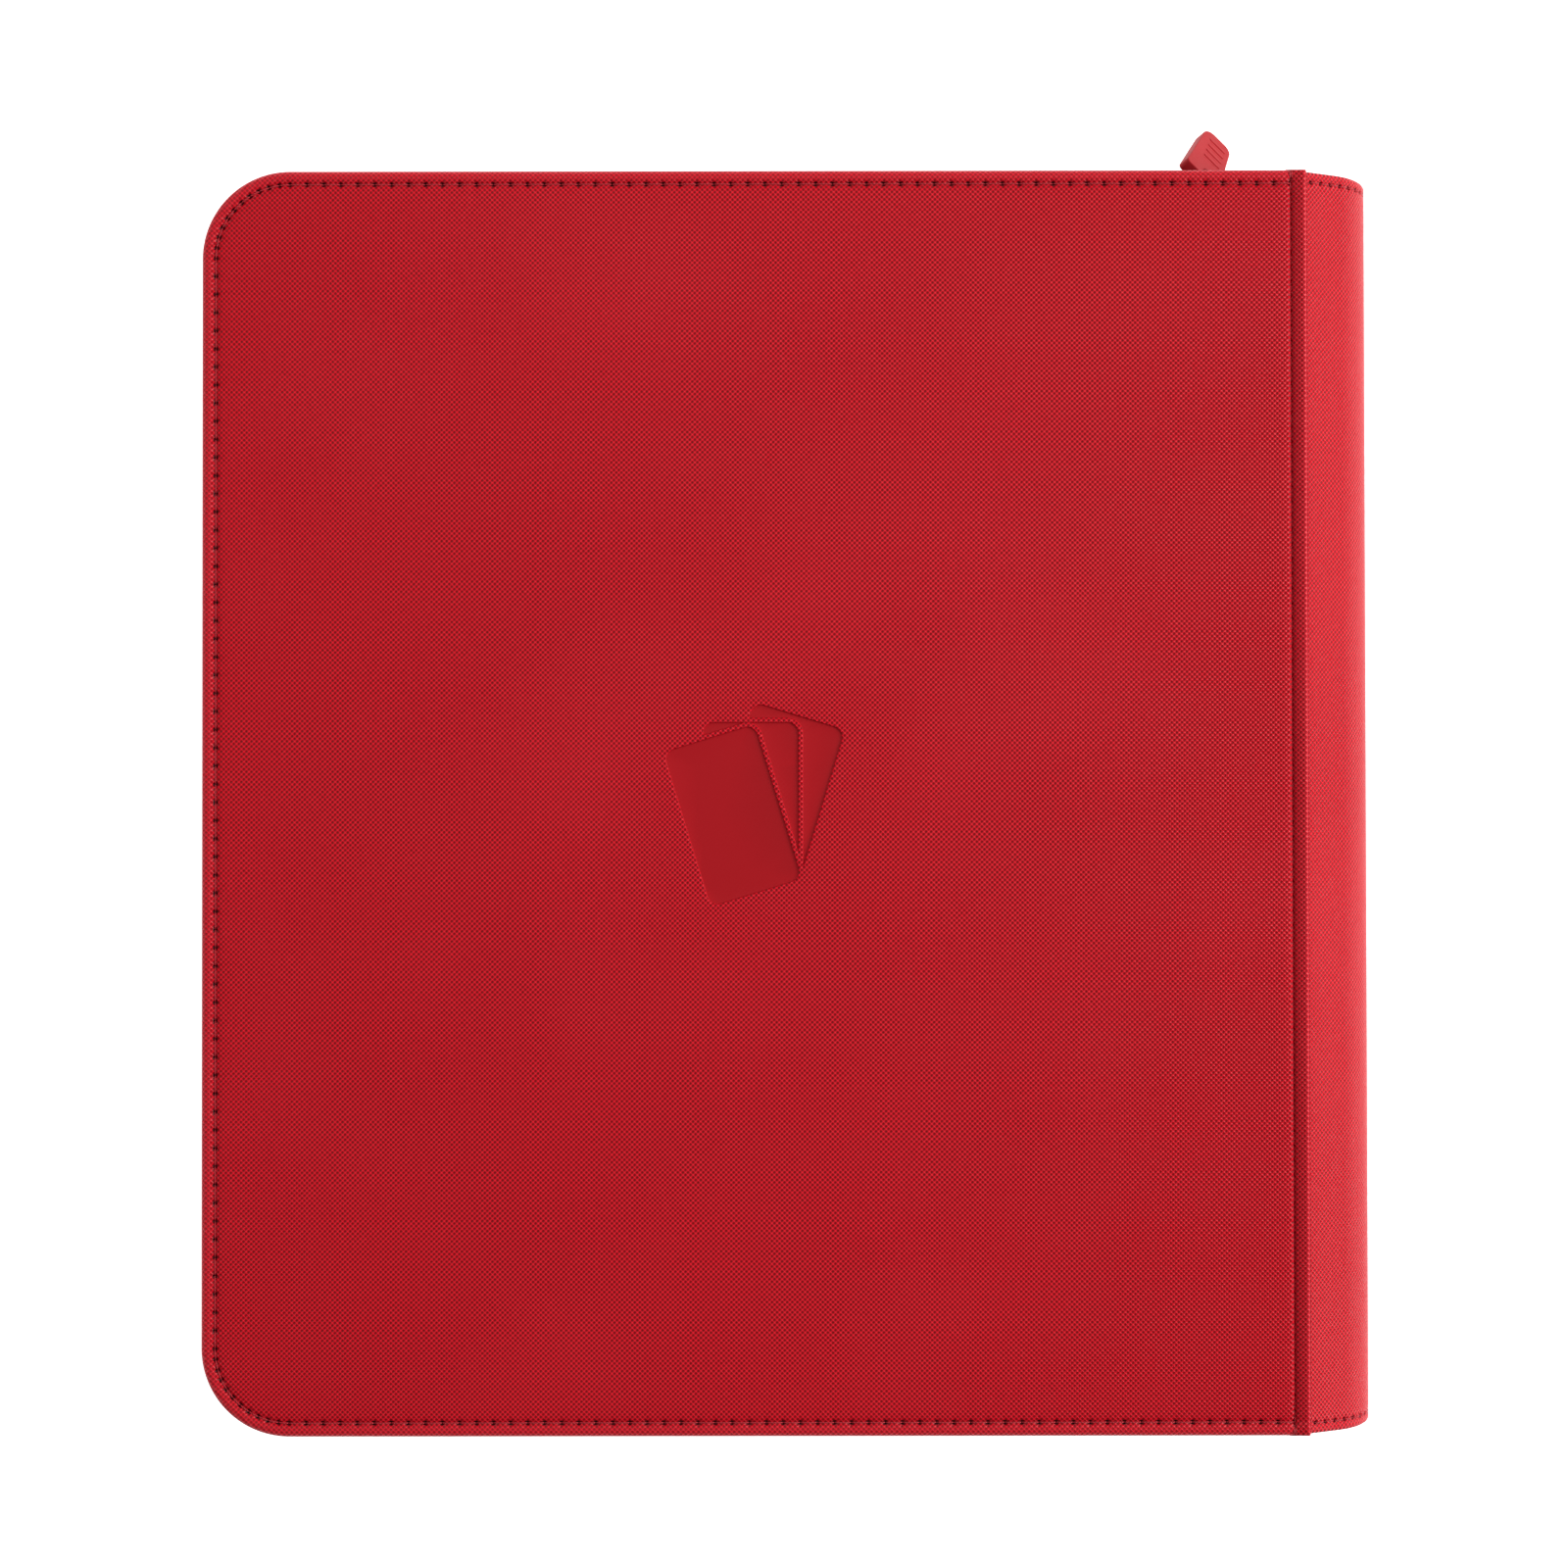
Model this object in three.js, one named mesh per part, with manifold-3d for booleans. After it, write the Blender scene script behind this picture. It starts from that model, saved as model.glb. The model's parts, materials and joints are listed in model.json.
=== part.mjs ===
// A zip-up binder for trading cards: two padded covers, a rounded padded spine, a zip that
// runs round three sides, and twenty double-sided pocket pages sewn to a binding strip.
//
// It lies closed on its front cover, with the back cover up. Millimetres, +Z up. +X points
// from the fore edge to the spine, and +Y points to the binder's head.
//
// While it is being built, X = 0 is the pair of creases where the covers meet the spine,
// Y = 0 is half-way up the covers, and Z = 0 is the table. The last lines move the whole
// binder so that its origin is at the middle of the bottom of its box.

import * as THREE from 'three';
import { mergeVertices } from 'three/addons/utils/BufferGeometryUtils.js';
import Module from 'manifold-3d';

const wasm = await Module();
wasm.setup();

// ---------------------------------------------------------------- driving dimensions

const COVER_HEIGHT = 345;
const COVER_WIDTH = 301.5;
const BINDER_THICKNESS = 45;
const COVER_CORNER_RADIUS = 24;
const CLEARANCE = 0.3;

// The layers of one cover, from the outside in.
const LEATHER_SKIN = 1.0;
const COVER_PADDING = 1.2;
const COVER_BOARD = 1.6;
const COVER_LINING = 0.8;
const COVER_EDGE_ROUND = 1.5;
const COVER_THICKNESS =
  LEATHER_SKIN + COVER_PADDING + COVER_BOARD + COVER_LINING + 3 * CLEARANCE;

const HINGE_STRIP_WIDTH = 3.9;
const HINGE_STRIP_THICKNESS = 0.7;
const HINGE_STRIP_ROUND = 0.28;

// A fan of three plain cards, pressed into the back cover.
const MOTIF_CARD_WIDTH = 26;
const MOTIF_CARD_HEIGHT = 44;
const MOTIF_CARD_CORNER = 3;
const MOTIF_CARD_RISES = [23.3, 19.6, 17];
const MOTIF_FAN_ANGLE = 17 * Math.PI / 180;
const MOTIF_FOOT_DROP = 20;
const MOTIF_FOOT_SHIFT = 0.95;
const MOTIF_GAP = 1.2;
const MOTIF_DEPTH = 0.4;

// The spine leaves each crease on a straight slope, which turns into one round back.
const SPINE_HEIGHT = COVER_HEIGHT - 1.2;
const SPINE_SKIN = 1.2;
const SPINE_SLOPE = 33 * Math.PI / 180;
const SPINE_SLOPE_RUN = 10.5;
const SPINE_LINING_X = [0.3, 0.9];
const SPINE_BOARD_X = [1.2, 3.1];
const SPINE_PADDING_X = 3.4;
const SPINE_LINING_HEIGHT = 38;
const SPINE_BOARD_HEIGHT = 36;

// The zip stands on edge between the covers, set in from their edges.
const ZIP_INSET = 6.5;
const ZIP_TAPE_THICKNESS = 0.8;
const ZIP_COIL_THICKNESS = 2.4;
const ZIP_COIL_HEIGHT = 3;
const ZIP_COIL_ROUND = 0.5;
const ZIP_MESH_GAP = 1.2;
const ZIP_TAPE_END_X = -18;
const ZIP_COIL_END_X = -21.5;
const STOP_LENGTH = 2.5;
const STOP_THICKNESS = 3.2;
const STOP_ROUND = 0.75;
const GUSSET_X = [-16.5, 0];
const GUSSET_HEIGHT = 31;
const GUSSET_CORNER = 4;

// The slider has two plates, joined through the gap between the coils.
const SLIDER_X = -27.8;
const SLIDER_LENGTH = 12;
const SLIDER_HEIGHT = 8.6;
const SLIDER_CORNER = 2.4;
const SLIDER_PLATE = 1.0;
const SLIDER_RUNNING_GAP = 0.35;
const SLIDER_WEB_LENGTH = 5;
const SLIDER_WEB_HEIGHT = 0.6;
const SLIDER_WEB_SETBACK = 1;
const CROWN_LENGTH = 6.4;
const CROWN_WIDTH = 1.6;
const CROWN_BAR = 1.1;
const CROWN_ROUND = 0.44;

// The ring hangs in the slider's crown, and the rubber grip hangs from the ring.
const RING_RADIUS = 3.4;
const RING_WIRE_RADIUS = 0.6;
const PULL_HEADING = 24 * Math.PI / 180;
const PULL_DROOP = 48 * Math.PI / 180;
const PULL_ROLL = 23 * Math.PI / 180;
const GRIP_TIP = 24;
const GRIP_SHOULDER = 8;
const GRIP_WIDTH = 9.7;
const GRIP_TIP_WIDTH = 9.2;
const GRIP_CHAMFER = 2.4;
const GRIP_THICKNESS = 3.7;
const GRIP_ROUND = 0.5;
const GRIP_EYE_RADIUS = 2.6;
const GRIP_EYE_HOLE_RADIUS = 1.6;
const GRIP_EYE_THICKNESS = 2.0;
const GRIP_NECK_HALF_WIDTH = 2.08;
const GRIP_NECK_LENGTH = 2;

// The pages fill the room between the linings, evenly spaced.
const PAGE_COUNT = 20;
const PAGE_THICKNESS = 0.6;
const PAGE_HEIGHT = 306;
const PAGE_FORE_X = -288;
const PAGE_CORNER = 12;
const PAGE_STACK_MARGIN = 0.5;
const PAGE_ROOT_GAP = 0.6;

// The binding strip is a low ridge, so that the pages can fold over it to both sides.
const BINDING_EDGE_X = -7;
const BINDING_STEP_PER_PAGE = 0.55;
const BINDING_MARGIN = 0.9;

const CORNER_SEGMENTS = 8;
const EDGE_ROUND_SEGMENTS = 2;
const RING_WIRE_SEGMENTS = 8;
const RING_SEGMENTS = 28;
const EYE_HOLE_SEGMENTS = 20;

// How far a cutting shape runs past the surface that it cuts.
const OVERCUT = 1;

// ---------------------------------------------------------------- worked-out dimensions

const HALF_HEIGHT = COVER_HEIGHT / 2;
const HALF_THICKNESS = BINDER_THICKNESS / 2;
const SPINE_RADIUS =
  (HALF_THICKNESS - SPINE_SLOPE_RUN * Math.tan(SPINE_SLOPE)) / Math.cos(SPINE_SLOPE);
const SPINE_BULGE = SPINE_SLOPE_RUN + SPINE_RADIUS * (1 - Math.sin(SPINE_SLOPE));
const ZIP_Y = HALF_HEIGHT - ZIP_INSET;
const COIL_FACE_Z = HALF_THICKNESS - ZIP_MESH_GAP / 2;
const COIL_FOOT_Z = COIL_FACE_Z - ZIP_COIL_HEIGHT;
const SLIDER_GAP_HALF = ZIP_COIL_THICKNESS / 2 + SLIDER_RUNNING_GAP;
const SLIDER_FACE = SLIDER_GAP_HALF + SLIDER_PLATE;
const RING_PIVOT = SLIDER_FACE + SLIDER_RUNNING_GAP + RING_WIRE_RADIUS;
const CROWN_INSIDE = RING_PIVOT + RING_WIRE_RADIUS + SLIDER_RUNNING_GAP;
const PAGE_PITCH =
  (BINDER_THICKNESS - 2 * COVER_THICKNESS - 2 * PAGE_STACK_MARGIN) / PAGE_COUNT;
const FIRST_PAGE_Z = COVER_THICKNESS + PAGE_STACK_MARGIN + PAGE_PITCH / 2;

// ---------------------------------------------------------------- materials

function finish(color, roughness, metalness = 0) {
  return new THREE.MeshStandardMaterial({ color, roughness, metalness });
}

const LEATHER = finish(0xbe1428, 0.55);
const FOAM = finish(0xd8d2c4, 0.95);
const BOARD = finish(0x8d8577, 0.9);
const LINING = finish(0x1d1d20, 0.85);
const ZIP_CLOTH = finish(0xa01426, 0.8);
const ZIP_NYLON = finish(0xb01a2c, 0.45);
const STEEL = finish(0x9a9a9e, 0.35, 1);
const RUBBER = finish(0xcd4248, 0.7);
const PAGE_FILM = finish(0x232326, 0.3);

// ---------------------------------------------------------------- shape helpers

function solidOf(geometry) {
  const bare = geometry.clone();
  bare.deleteAttribute('normal');
  bare.deleteAttribute('uv');
  const merged = mergeVertices(bare, 1e-4);
  const mesh = new wasm.Mesh({
    numProp: 3,
    vertProperties: new Float32Array(merged.attributes.position.array),
    triVerts: new Uint32Array(merged.index.array),
  });
  return new wasm.Manifold(mesh);
}

function geometryOf(solid) {
  const mesh = solid.getMesh();
  const geometry = new THREE.BufferGeometry();
  geometry.setAttribute('position', new THREE.BufferAttribute(mesh.vertProperties, 3));
  geometry.setIndex(new THREE.BufferAttribute(mesh.triVerts, 1));
  geometry.computeVertexNormals();
  return geometry;
}

function subtract(geometry, ...cutters) {
  let solid = solidOf(geometry);
  for (const cutter of cutters) {
    solid = solid.subtract(solidOf(cutter));
  }
  return geometryOf(solid);
}

function unite(...geometries) {
  let solid = solidOf(geometries[0]);
  for (const geometry of geometries.slice(1)) {
    solid = solid.add(solidOf(geometry));
  }
  return geometryOf(solid);
}

function named(name, geometry, material) {
  const mesh = new THREE.Mesh(geometry, material);
  mesh.name = name;
  return mesh;
}

// A plate with its outline in XY and its thickness from z0 to z1.
function plate(shape, z0, z1, round = 0) {
  const geometry = new THREE.ExtrudeGeometry(shape, {
    depth: z1 - z0 - 2 * round,
    curveSegments: CORNER_SEGMENTS,
    bevelEnabled: round > 0,
    bevelThickness: round,
    bevelSize: round,
    bevelOffset: -round,
    bevelSegments: EDGE_ROUND_SEGMENTS,
  });
  return geometry.translate(0, 0, z0 + round);
}

// A bar with its section in XZ, drawn as a shape in XY, and its length from y0 to y1.
function barAlongY(shape, y0, y1) {
  return plate(shape, 0, y1 - y0).rotateX(Math.PI / 2).translate(0, y1, 0);
}

function box(x0, x1, y0, y1, z0, z1) {
  const geometry = new THREE.BoxGeometry(x1 - x0, y1 - y0, z1 - z0);
  return geometry.translate((x0 + x1) / 2, (y0 + y1) / 2, (z0 + z1) / 2);
}

function roundedRectangle(x0, x1, y0, y1, radius) {
  const shape = new THREE.Shape();
  shape.moveTo(x0 + radius, y0);
  shape.lineTo(x1 - radius, y0);
  shape.absarc(x1 - radius, y0 + radius, radius, -Math.PI / 2, 0, false);
  shape.absarc(x1 - radius, y1 - radius, radius, 0, Math.PI / 2, false);
  shape.absarc(x0 + radius, y1 - radius, radius, Math.PI / 2, Math.PI, false);
  shape.absarc(x0 + radius, y0 + radius, radius, Math.PI, 1.5 * Math.PI, false);
  return shape;
}

// A sheet that is square at x1 and has round corners at its fore edge, x0.
function foreRoundedSheet(x0, x1, halfHeight, radius) {
  const shape = new THREE.Shape();
  shape.moveTo(x1, -halfHeight);
  shape.lineTo(x1, halfHeight);
  shape.lineTo(x0 + radius, halfHeight);
  shape.absarc(x0 + radius, halfHeight - radius, radius, Math.PI / 2, Math.PI, false);
  shape.absarc(x0 + radius, radius - halfHeight, radius, Math.PI, 1.5 * Math.PI, false);
  return shape;
}

// ---------------------------------------------------------------- covers

// A cover's outline, drawn in by inset at its three free sides.
function coverOutline(inset, creaseInset) {
  const radius = COVER_CORNER_RADIUS - inset;
  return foreRoundedSheet(inset - COVER_WIDTH, -creaseInset, HALF_HEIGHT - inset, radius);
}

// The leatherette is a shallow tray that wraps the cover's edges. Its outer face is Z = 0.
// The rabbet along the crease takes the hinge strip.
function coverLeather() {
  const tray = plate(coverOutline(0, CLEARANCE), 0, COVER_THICKNESS, COVER_EDGE_ROUND);
  const hollowCrease = HINGE_STRIP_WIDTH + 2 * CLEARANCE + LEATHER_SKIN;
  const hollow = plate(
    coverOutline(LEATHER_SKIN + COVER_EDGE_ROUND, hollowCrease),
    LEATHER_SKIN,
    COVER_THICKNESS + OVERCUT,
  );
  const rabbetX = -HINGE_STRIP_WIDTH - 2 * CLEARANCE;
  const rabbetDepth = HINGE_STRIP_THICKNESS + CLEARANCE;
  const rabbetHalfLength = HALF_HEIGHT + OVERCUT;
  const rabbet = box(
    rabbetX, OVERCUT, -rabbetHalfLength, rabbetHalfLength, -OVERCUT, rabbetDepth,
  );
  return subtract(tray, hollow, rabbet);
}

// One card of the motif, its outline grown by grow, fanned by angle about the fan's foot.
// The cards behind stand higher, so that nothing of them shows below the front one.
function motifCard(angle, rise, grow) {
  const halfWidth = MOTIF_CARD_WIDTH / 2 + grow;
  const foot = rise - MOTIF_CARD_HEIGHT / 2 - grow;
  const top = rise + MOTIF_CARD_HEIGHT / 2 + grow;
  const corner = MOTIF_CARD_CORNER + grow;
  const outline = roundedRectangle(-halfWidth, halfWidth, foot, top, corner);
  return plate(outline, -OVERCUT, MOTIF_DEPTH).rotateZ(angle).translate(0, -MOTIF_FOOT_DROP, 0);
}

// Each card hides what lies behind it, with a line of untouched cover between the two. The
// fan is drawn upside down, because the back cover is turned over when it is put in place.
function pressMotif(geometry) {
  const angles = [MOTIF_FAN_ANGLE, 0, -MOTIF_FAN_ANGLE];
  const cards = (grow) => angles.map((angle, i) => motifCard(angle, MOTIF_CARD_RISES[i], grow));
  const grown = cards(MOTIF_GAP);
  const pressed = cards(0).map((card, index) => subtract(card, ...grown.slice(index + 1)));
  const centreX = (-COVER_WIDTH - CLEARANCE) / 2 - MOTIF_FOOT_SHIFT;
  const placed = pressed.map((cutter) => cutter.rotateZ(Math.PI).translate(centreX, 0, 0));
  return subtract(geometry, ...placed);
}

function coverLayer(z0, thickness) {
  const inset = LEATHER_SKIN + COVER_EDGE_ROUND + CLEARANCE;
  const creaseInset = HINGE_STRIP_WIDTH + 3 * CLEARANCE + LEATHER_SKIN;
  return plate(coverOutline(inset, creaseInset), z0, z0 + thickness);
}

function hingeStrip() {
  const section = roundedRectangle(
    -HINGE_STRIP_WIDTH - CLEARANCE,
    -CLEARANCE,
    0,
    HINGE_STRIP_THICKNESS,
    HINGE_STRIP_ROUND,
  );
  return barAlongY(section, -HALF_HEIGHT, HALF_HEIGHT);
}

// The layers of one cover, with its outer face at Z = 0.
function coverLayers(side, leather) {
  const paddingZ = LEATHER_SKIN + CLEARANCE;
  const boardZ = paddingZ + COVER_PADDING + CLEARANCE;
  const liningZ = boardZ + COVER_BOARD + CLEARANCE;
  const cover = new THREE.Group();
  cover.add(
    named(`${side}_cover_leather`, leather, LEATHER),
    named(`${side}_cover_padding`, coverLayer(paddingZ, COVER_PADDING), FOAM),
    named(`${side}_cover_board`, coverLayer(boardZ, COVER_BOARD), BOARD),
    named(`${side}_cover_lining`, coverLayer(liningZ, COVER_LINING), LINING),
    named(`${side}_hinge_strip`, hingeStrip(), LEATHER),
  );
  return cover;
}

// ---------------------------------------------------------------- zip

// A rail that follows the covers' edges round three sides, inset from them.
function zipRail(thickness, endX) {
  const outer = COVER_CORNER_RADIUS - ZIP_INSET + thickness / 2;
  const inner = outer - thickness;
  const cornerX = COVER_CORNER_RADIUS - COVER_WIDTH;
  const cornerY = HALF_HEIGHT - COVER_CORNER_RADIUS;
  const down = 1.5 * Math.PI;
  const shape = new THREE.Shape();
  shape.moveTo(endX, cornerY + inner);
  shape.lineTo(endX, cornerY + outer);
  shape.absarc(cornerX, cornerY, outer, Math.PI / 2, Math.PI, false);
  shape.absarc(cornerX, -cornerY, outer, Math.PI, down, false);
  shape.lineTo(endX, -cornerY - outer);
  shape.lineTo(endX, -cornerY - inner);
  shape.absarc(cornerX, -cornerY, inner, down, Math.PI, true);
  shape.absarc(cornerX, cornerY, inner, Math.PI, Math.PI / 2, true);
  return shape;
}

function zipTape() {
  const rail = zipRail(ZIP_TAPE_THICKNESS, ZIP_TAPE_END_X);
  return plate(rail, COVER_THICKNESS + CLEARANCE, COIL_FOOT_Z - CLEARANCE);
}

function zipCoil() {
  const rail = zipRail(ZIP_COIL_THICKNESS, ZIP_COIL_END_X);
  return plate(rail, COIL_FOOT_Z, COIL_FACE_Z, ZIP_COIL_ROUND);
}

// A clamp on the end of the coils, at y, from z0 to z1.
function zipStop(y, z0, z1) {
  const x0 = ZIP_COIL_END_X + CLEARANCE;
  const halfThickness = STOP_THICKNESS / 2;
  const outline = roundedRectangle(
    x0,
    x0 + STOP_LENGTH,
    y - halfThickness,
    y + halfThickness,
    STOP_ROUND,
  );
  return plate(outline, z0, z1);
}

// The fabric that closes the spine's head or tail, between the zip and the spine.
function gusset(y) {
  const halfRoom = GUSSET_HEIGHT / 2;
  const section = roundedRectangle(
    GUSSET_X[0],
    GUSSET_X[1],
    HALF_THICKNESS - halfRoom,
    HALF_THICKNESS + halfRoom,
    GUSSET_CORNER,
  );
  const halfThickness = ZIP_TAPE_THICKNESS / 2;
  return barAlongY(section, y - halfThickness, y + halfThickness);
}

// ---------------------------------------------------------------- slider and pull

// The slider, about the middle of the closed coils: X along the zip, Y outwards.
function slider() {
  const halfLength = SLIDER_LENGTH / 2;
  const halfHeight = SLIDER_HEIGHT / 2;
  const face = roundedRectangle(
    -halfLength, halfLength, -halfHeight, halfHeight, SLIDER_CORNER,
  );
  const outerPlate = barAlongY(face, SLIDER_GAP_HALF, SLIDER_FACE);
  const innerPlate = barAlongY(face, -SLIDER_FACE, -SLIDER_GAP_HALF);
  const halfWeb = SLIDER_WEB_HEIGHT / 2;
  const overlap = SLIDER_PLATE / 2;
  const webReach = SLIDER_GAP_HALF + overlap;
  const webEnd = halfLength - SLIDER_WEB_SETBACK;
  const web = box(
    webEnd - SLIDER_WEB_LENGTH, webEnd, -webReach, webReach, -halfWeb, halfWeb,
  );
  return unite(outerPlate, innerPlate, web, crown(overlap));
}

// The arch on the slider's outer plate that holds the ring.
function crown(overlap) {
  const halfLength = CROWN_LENGTH / 2;
  const foot = SLIDER_FACE - overlap;
  const top = CROWN_INSIDE + CROWN_BAR;
  const arch = roundedRectangle(-halfLength, halfLength, foot, top, CROWN_ROUND);
  const opening = new THREE.Path();
  const halfOpening = halfLength - CROWN_BAR;
  opening.moveTo(-halfOpening, SLIDER_FACE);
  opening.lineTo(-halfOpening, CROWN_INSIDE);
  opening.lineTo(halfOpening, CROWN_INSIDE);
  opening.lineTo(halfOpening, SLIDER_FACE);
  arch.holes.push(opening);
  return plate(arch, -CROWN_WIDTH / 2, CROWN_WIDTH / 2);
}

function pullRing() {
  const ring = new THREE.TorusGeometry(RING_RADIUS, RING_WIRE_RADIUS, RING_WIRE_SEGMENTS, RING_SEGMENTS);
  return ring.rotateY(Math.PI / 2);
}

// The rubber grip, about the ring's centre: Y along its length, Z out of its face.
function grip() {
  const halfWidth = GRIP_WIDTH / 2;
  const halfTip = GRIP_TIP_WIDTH / 2;
  const eyeY = RING_RADIUS;
  const neckY = GRIP_SHOULDER - GRIP_NECK_LENGTH;
  const tag = new THREE.Shape();
  tag.moveTo(-halfWidth, GRIP_SHOULDER);
  tag.lineTo(-GRIP_NECK_HALF_WIDTH, neckY);
  tag.lineTo(GRIP_NECK_HALF_WIDTH, neckY);
  tag.lineTo(halfWidth, GRIP_SHOULDER);
  tag.lineTo(halfTip, GRIP_TIP - GRIP_CHAMFER);
  tag.lineTo(halfTip - GRIP_CHAMFER, GRIP_TIP);
  tag.lineTo(GRIP_CHAMFER - halfTip, GRIP_TIP);
  tag.lineTo(-halfTip, GRIP_TIP - GRIP_CHAMFER);
  const eye = new THREE.Shape();
  eye.moveTo(GRIP_EYE_RADIUS, GRIP_SHOULDER);
  eye.lineTo(-GRIP_EYE_RADIUS, GRIP_SHOULDER);
  eye.absarc(0, eyeY, GRIP_EYE_RADIUS, Math.PI, 2 * Math.PI, false);
  const halfBody = GRIP_THICKNESS / 2;
  const halfEye = GRIP_EYE_THICKNESS / 2;
  const hole = new THREE.CylinderGeometry(
    GRIP_EYE_HOLE_RADIUS, GRIP_EYE_HOLE_RADIUS, GRIP_THICKNESS * 2, EYE_HOLE_SEGMENTS,
  );
  hole.rotateX(Math.PI / 2).translate(0, eyeY, 0);
  const body = unite(plate(tag, -halfBody, halfBody, GRIP_ROUND), plate(eye, -halfEye, halfEye));
  return subtract(body, hole);
}

// The slider, ring and grip, with the ring swung to the spine's side and the grip hanging.
function sliderAssembly() {
  const assembly = new THREE.Group();
  assembly.position.set(SLIDER_X, ZIP_Y, HALF_THICKNESS);
  const swing = new THREE.Group();
  swing.position.set(0, RING_PIVOT, 0);
  swing.rotation.z = -PULL_HEADING;
  const ring = named('pull_ring', pullRing(), STEEL);
  ring.position.set(0, RING_RADIUS, 0);
  const droop = new THREE.Group();
  droop.position.copy(ring.position);
  droop.rotation.x = -PULL_DROOP;
  droop.add(named('pull_grip', rolledGrip(), RUBBER));
  swing.add(ring, droop);
  assembly.add(named('zip_slider', slider(), STEEL), swing);
  return assembly;
}

// The grip is turned a little about its own length, where it hangs loosely in the ring.
function rolledGrip() {
  return grip().translate(0, -RING_RADIUS, 0).rotateY(PULL_ROLL).translate(0, RING_RADIUS, 0);
}

// ---------------------------------------------------------------- spine

// The spine's section, offset inwards by depth from its outer face and cut off at x0.
function spineCurve(depth, x0) {
  const turn = Math.PI / 2 - SPINE_SLOPE;
  const lift = depth / Math.cos(SPINE_SLOPE);
  const startZ = x0 * Math.tan(SPINE_SLOPE) + lift;
  const shape = new THREE.Shape();
  shape.moveTo(x0, BINDER_THICKNESS - startZ);
  shape.lineTo(x0, startZ);
  const centreX = SPINE_BULGE - SPINE_RADIUS;
  shape.absarc(centreX, HALF_THICKNESS, SPINE_RADIUS - depth, -turn, turn, false);
  return shape;
}

function spineBar(shape) {
  return barAlongY(shape, -SPINE_HEIGHT / 2, SPINE_HEIGHT / 2);
}

function spineLeather() {
  const halfLength = HALF_HEIGHT + OVERCUT;
  const inside = barAlongY(spineCurve(SPINE_SKIN, -OVERCUT), -halfLength, halfLength);
  return subtract(spineBar(spineCurve(0, 0)), inside);
}

function spinePadding() {
  return spineBar(spineCurve(SPINE_SKIN + CLEARANCE, SPINE_PADDING_X));
}

function spinePanel([x0, x1], height) {
  const halfWidth = height / 2;
  const halfLength = SPINE_HEIGHT / 2;
  const low = HALF_THICKNESS - halfWidth;
  return box(x0, x1, -halfLength, halfLength, low, low + height);
}

function bindingFaceX(page) {
  const fromEdge = Math.min(page, PAGE_COUNT - 1 - page);
  return BINDING_EDGE_X - BINDING_STEP_PER_PAGE * fromEdge;
}

function bindingStrip() {
  const low = FIRST_PAGE_Z - BINDING_MARGIN;
  const high = BINDER_THICKNESS - low;
  const middlePage = PAGE_COUNT / 2 - 1;
  const ridgeX = bindingFaceX(middlePage);
  const ridgeZ = FIRST_PAGE_Z + middlePage * PAGE_PITCH;
  const section = new THREE.Shape();
  section.moveTo(0, low);
  section.lineTo(0, high);
  section.lineTo(BINDING_EDGE_X, high);
  section.lineTo(BINDING_EDGE_X, BINDER_THICKNESS - FIRST_PAGE_Z);
  section.lineTo(ridgeX, BINDER_THICKNESS - ridgeZ);
  section.lineTo(ridgeX, ridgeZ);
  section.lineTo(BINDING_EDGE_X, FIRST_PAGE_Z);
  section.lineTo(BINDING_EDGE_X, low);
  return barAlongY(section, -PAGE_HEIGHT / 2, PAGE_HEIGHT / 2);
}

// ---------------------------------------------------------------- pages

// One page: a core sheet with pocket films welded to both faces, made as one sheet.
function page(index) {
  const rootX = bindingFaceX(index) - PAGE_ROOT_GAP;
  const outline = foreRoundedSheet(PAGE_FORE_X, rootX, PAGE_HEIGHT / 2, PAGE_CORNER);
  const z = FIRST_PAGE_Z + index * PAGE_PITCH;
  const sheet = plate(outline, z - PAGE_THICKNESS / 2, z + PAGE_THICKNESS / 2);
  const number = String(index + 1).padStart(2, '0');
  return named(`page_${number}`, sheet, PAGE_FILM);
}

// ---------------------------------------------------------------- the whole binder

const binder = new THREE.Group();

const lowerHalf = coverLayers('front', coverLeather());
lowerHalf.add(
  named('lower_zip_tape', zipTape(), ZIP_CLOTH),
  named('lower_zip_coil', zipCoil(), ZIP_NYLON),
  named('lower_top_stop', zipStop(ZIP_Y, COIL_FOOT_Z, COIL_FACE_Z), STEEL),
  named('zip_bottom_stop', zipStop(-ZIP_Y, COIL_FOOT_Z, BINDER_THICKNESS - COIL_FOOT_Z), STEEL),
);

// The upper half is turned over onto the lower half, about the line through the creases.
const upperHalf = coverLayers('back', pressMotif(coverLeather()));
upperHalf.rotation.x = Math.PI;
upperHalf.position.z = BINDER_THICKNESS;
upperHalf.add(
  named('upper_zip_tape', zipTape(), ZIP_CLOTH),
  named('upper_zip_coil', zipCoil(), ZIP_NYLON),
  named('upper_top_stop', zipStop(-ZIP_Y, COIL_FOOT_Z, COIL_FACE_Z), STEEL),
);

const spine = new THREE.Group();
spine.add(
  named('spine_leather', spineLeather(), LEATHER),
  named('spine_padding', spinePadding(), FOAM),
  named('spine_board', spinePanel(SPINE_BOARD_X, SPINE_BOARD_HEIGHT), BOARD),
  named('spine_lining', spinePanel(SPINE_LINING_X, SPINE_LINING_HEIGHT), LINING),
  named('binding_strip', bindingStrip(), LINING),
  named('head_gusset', gusset(ZIP_Y), ZIP_CLOTH),
  named('tail_gusset', gusset(-ZIP_Y), ZIP_CLOTH),
);

binder.add(lowerHalf, upperHalf, spine, sliderAssembly());
for (let index = 0; index < PAGE_COUNT; index += 1) {
  binder.add(page(index));
}

// The origin is the middle of the bottom of the whole binder's box.
binder.updateMatrixWorld(true);
const bounds = new THREE.Box3().setFromObject(binder, true);
const middle = bounds.getCenter(new THREE.Vector3());
binder.position.set(-middle.x, -middle.y, -bounds.min.z);

export default binder;
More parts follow.
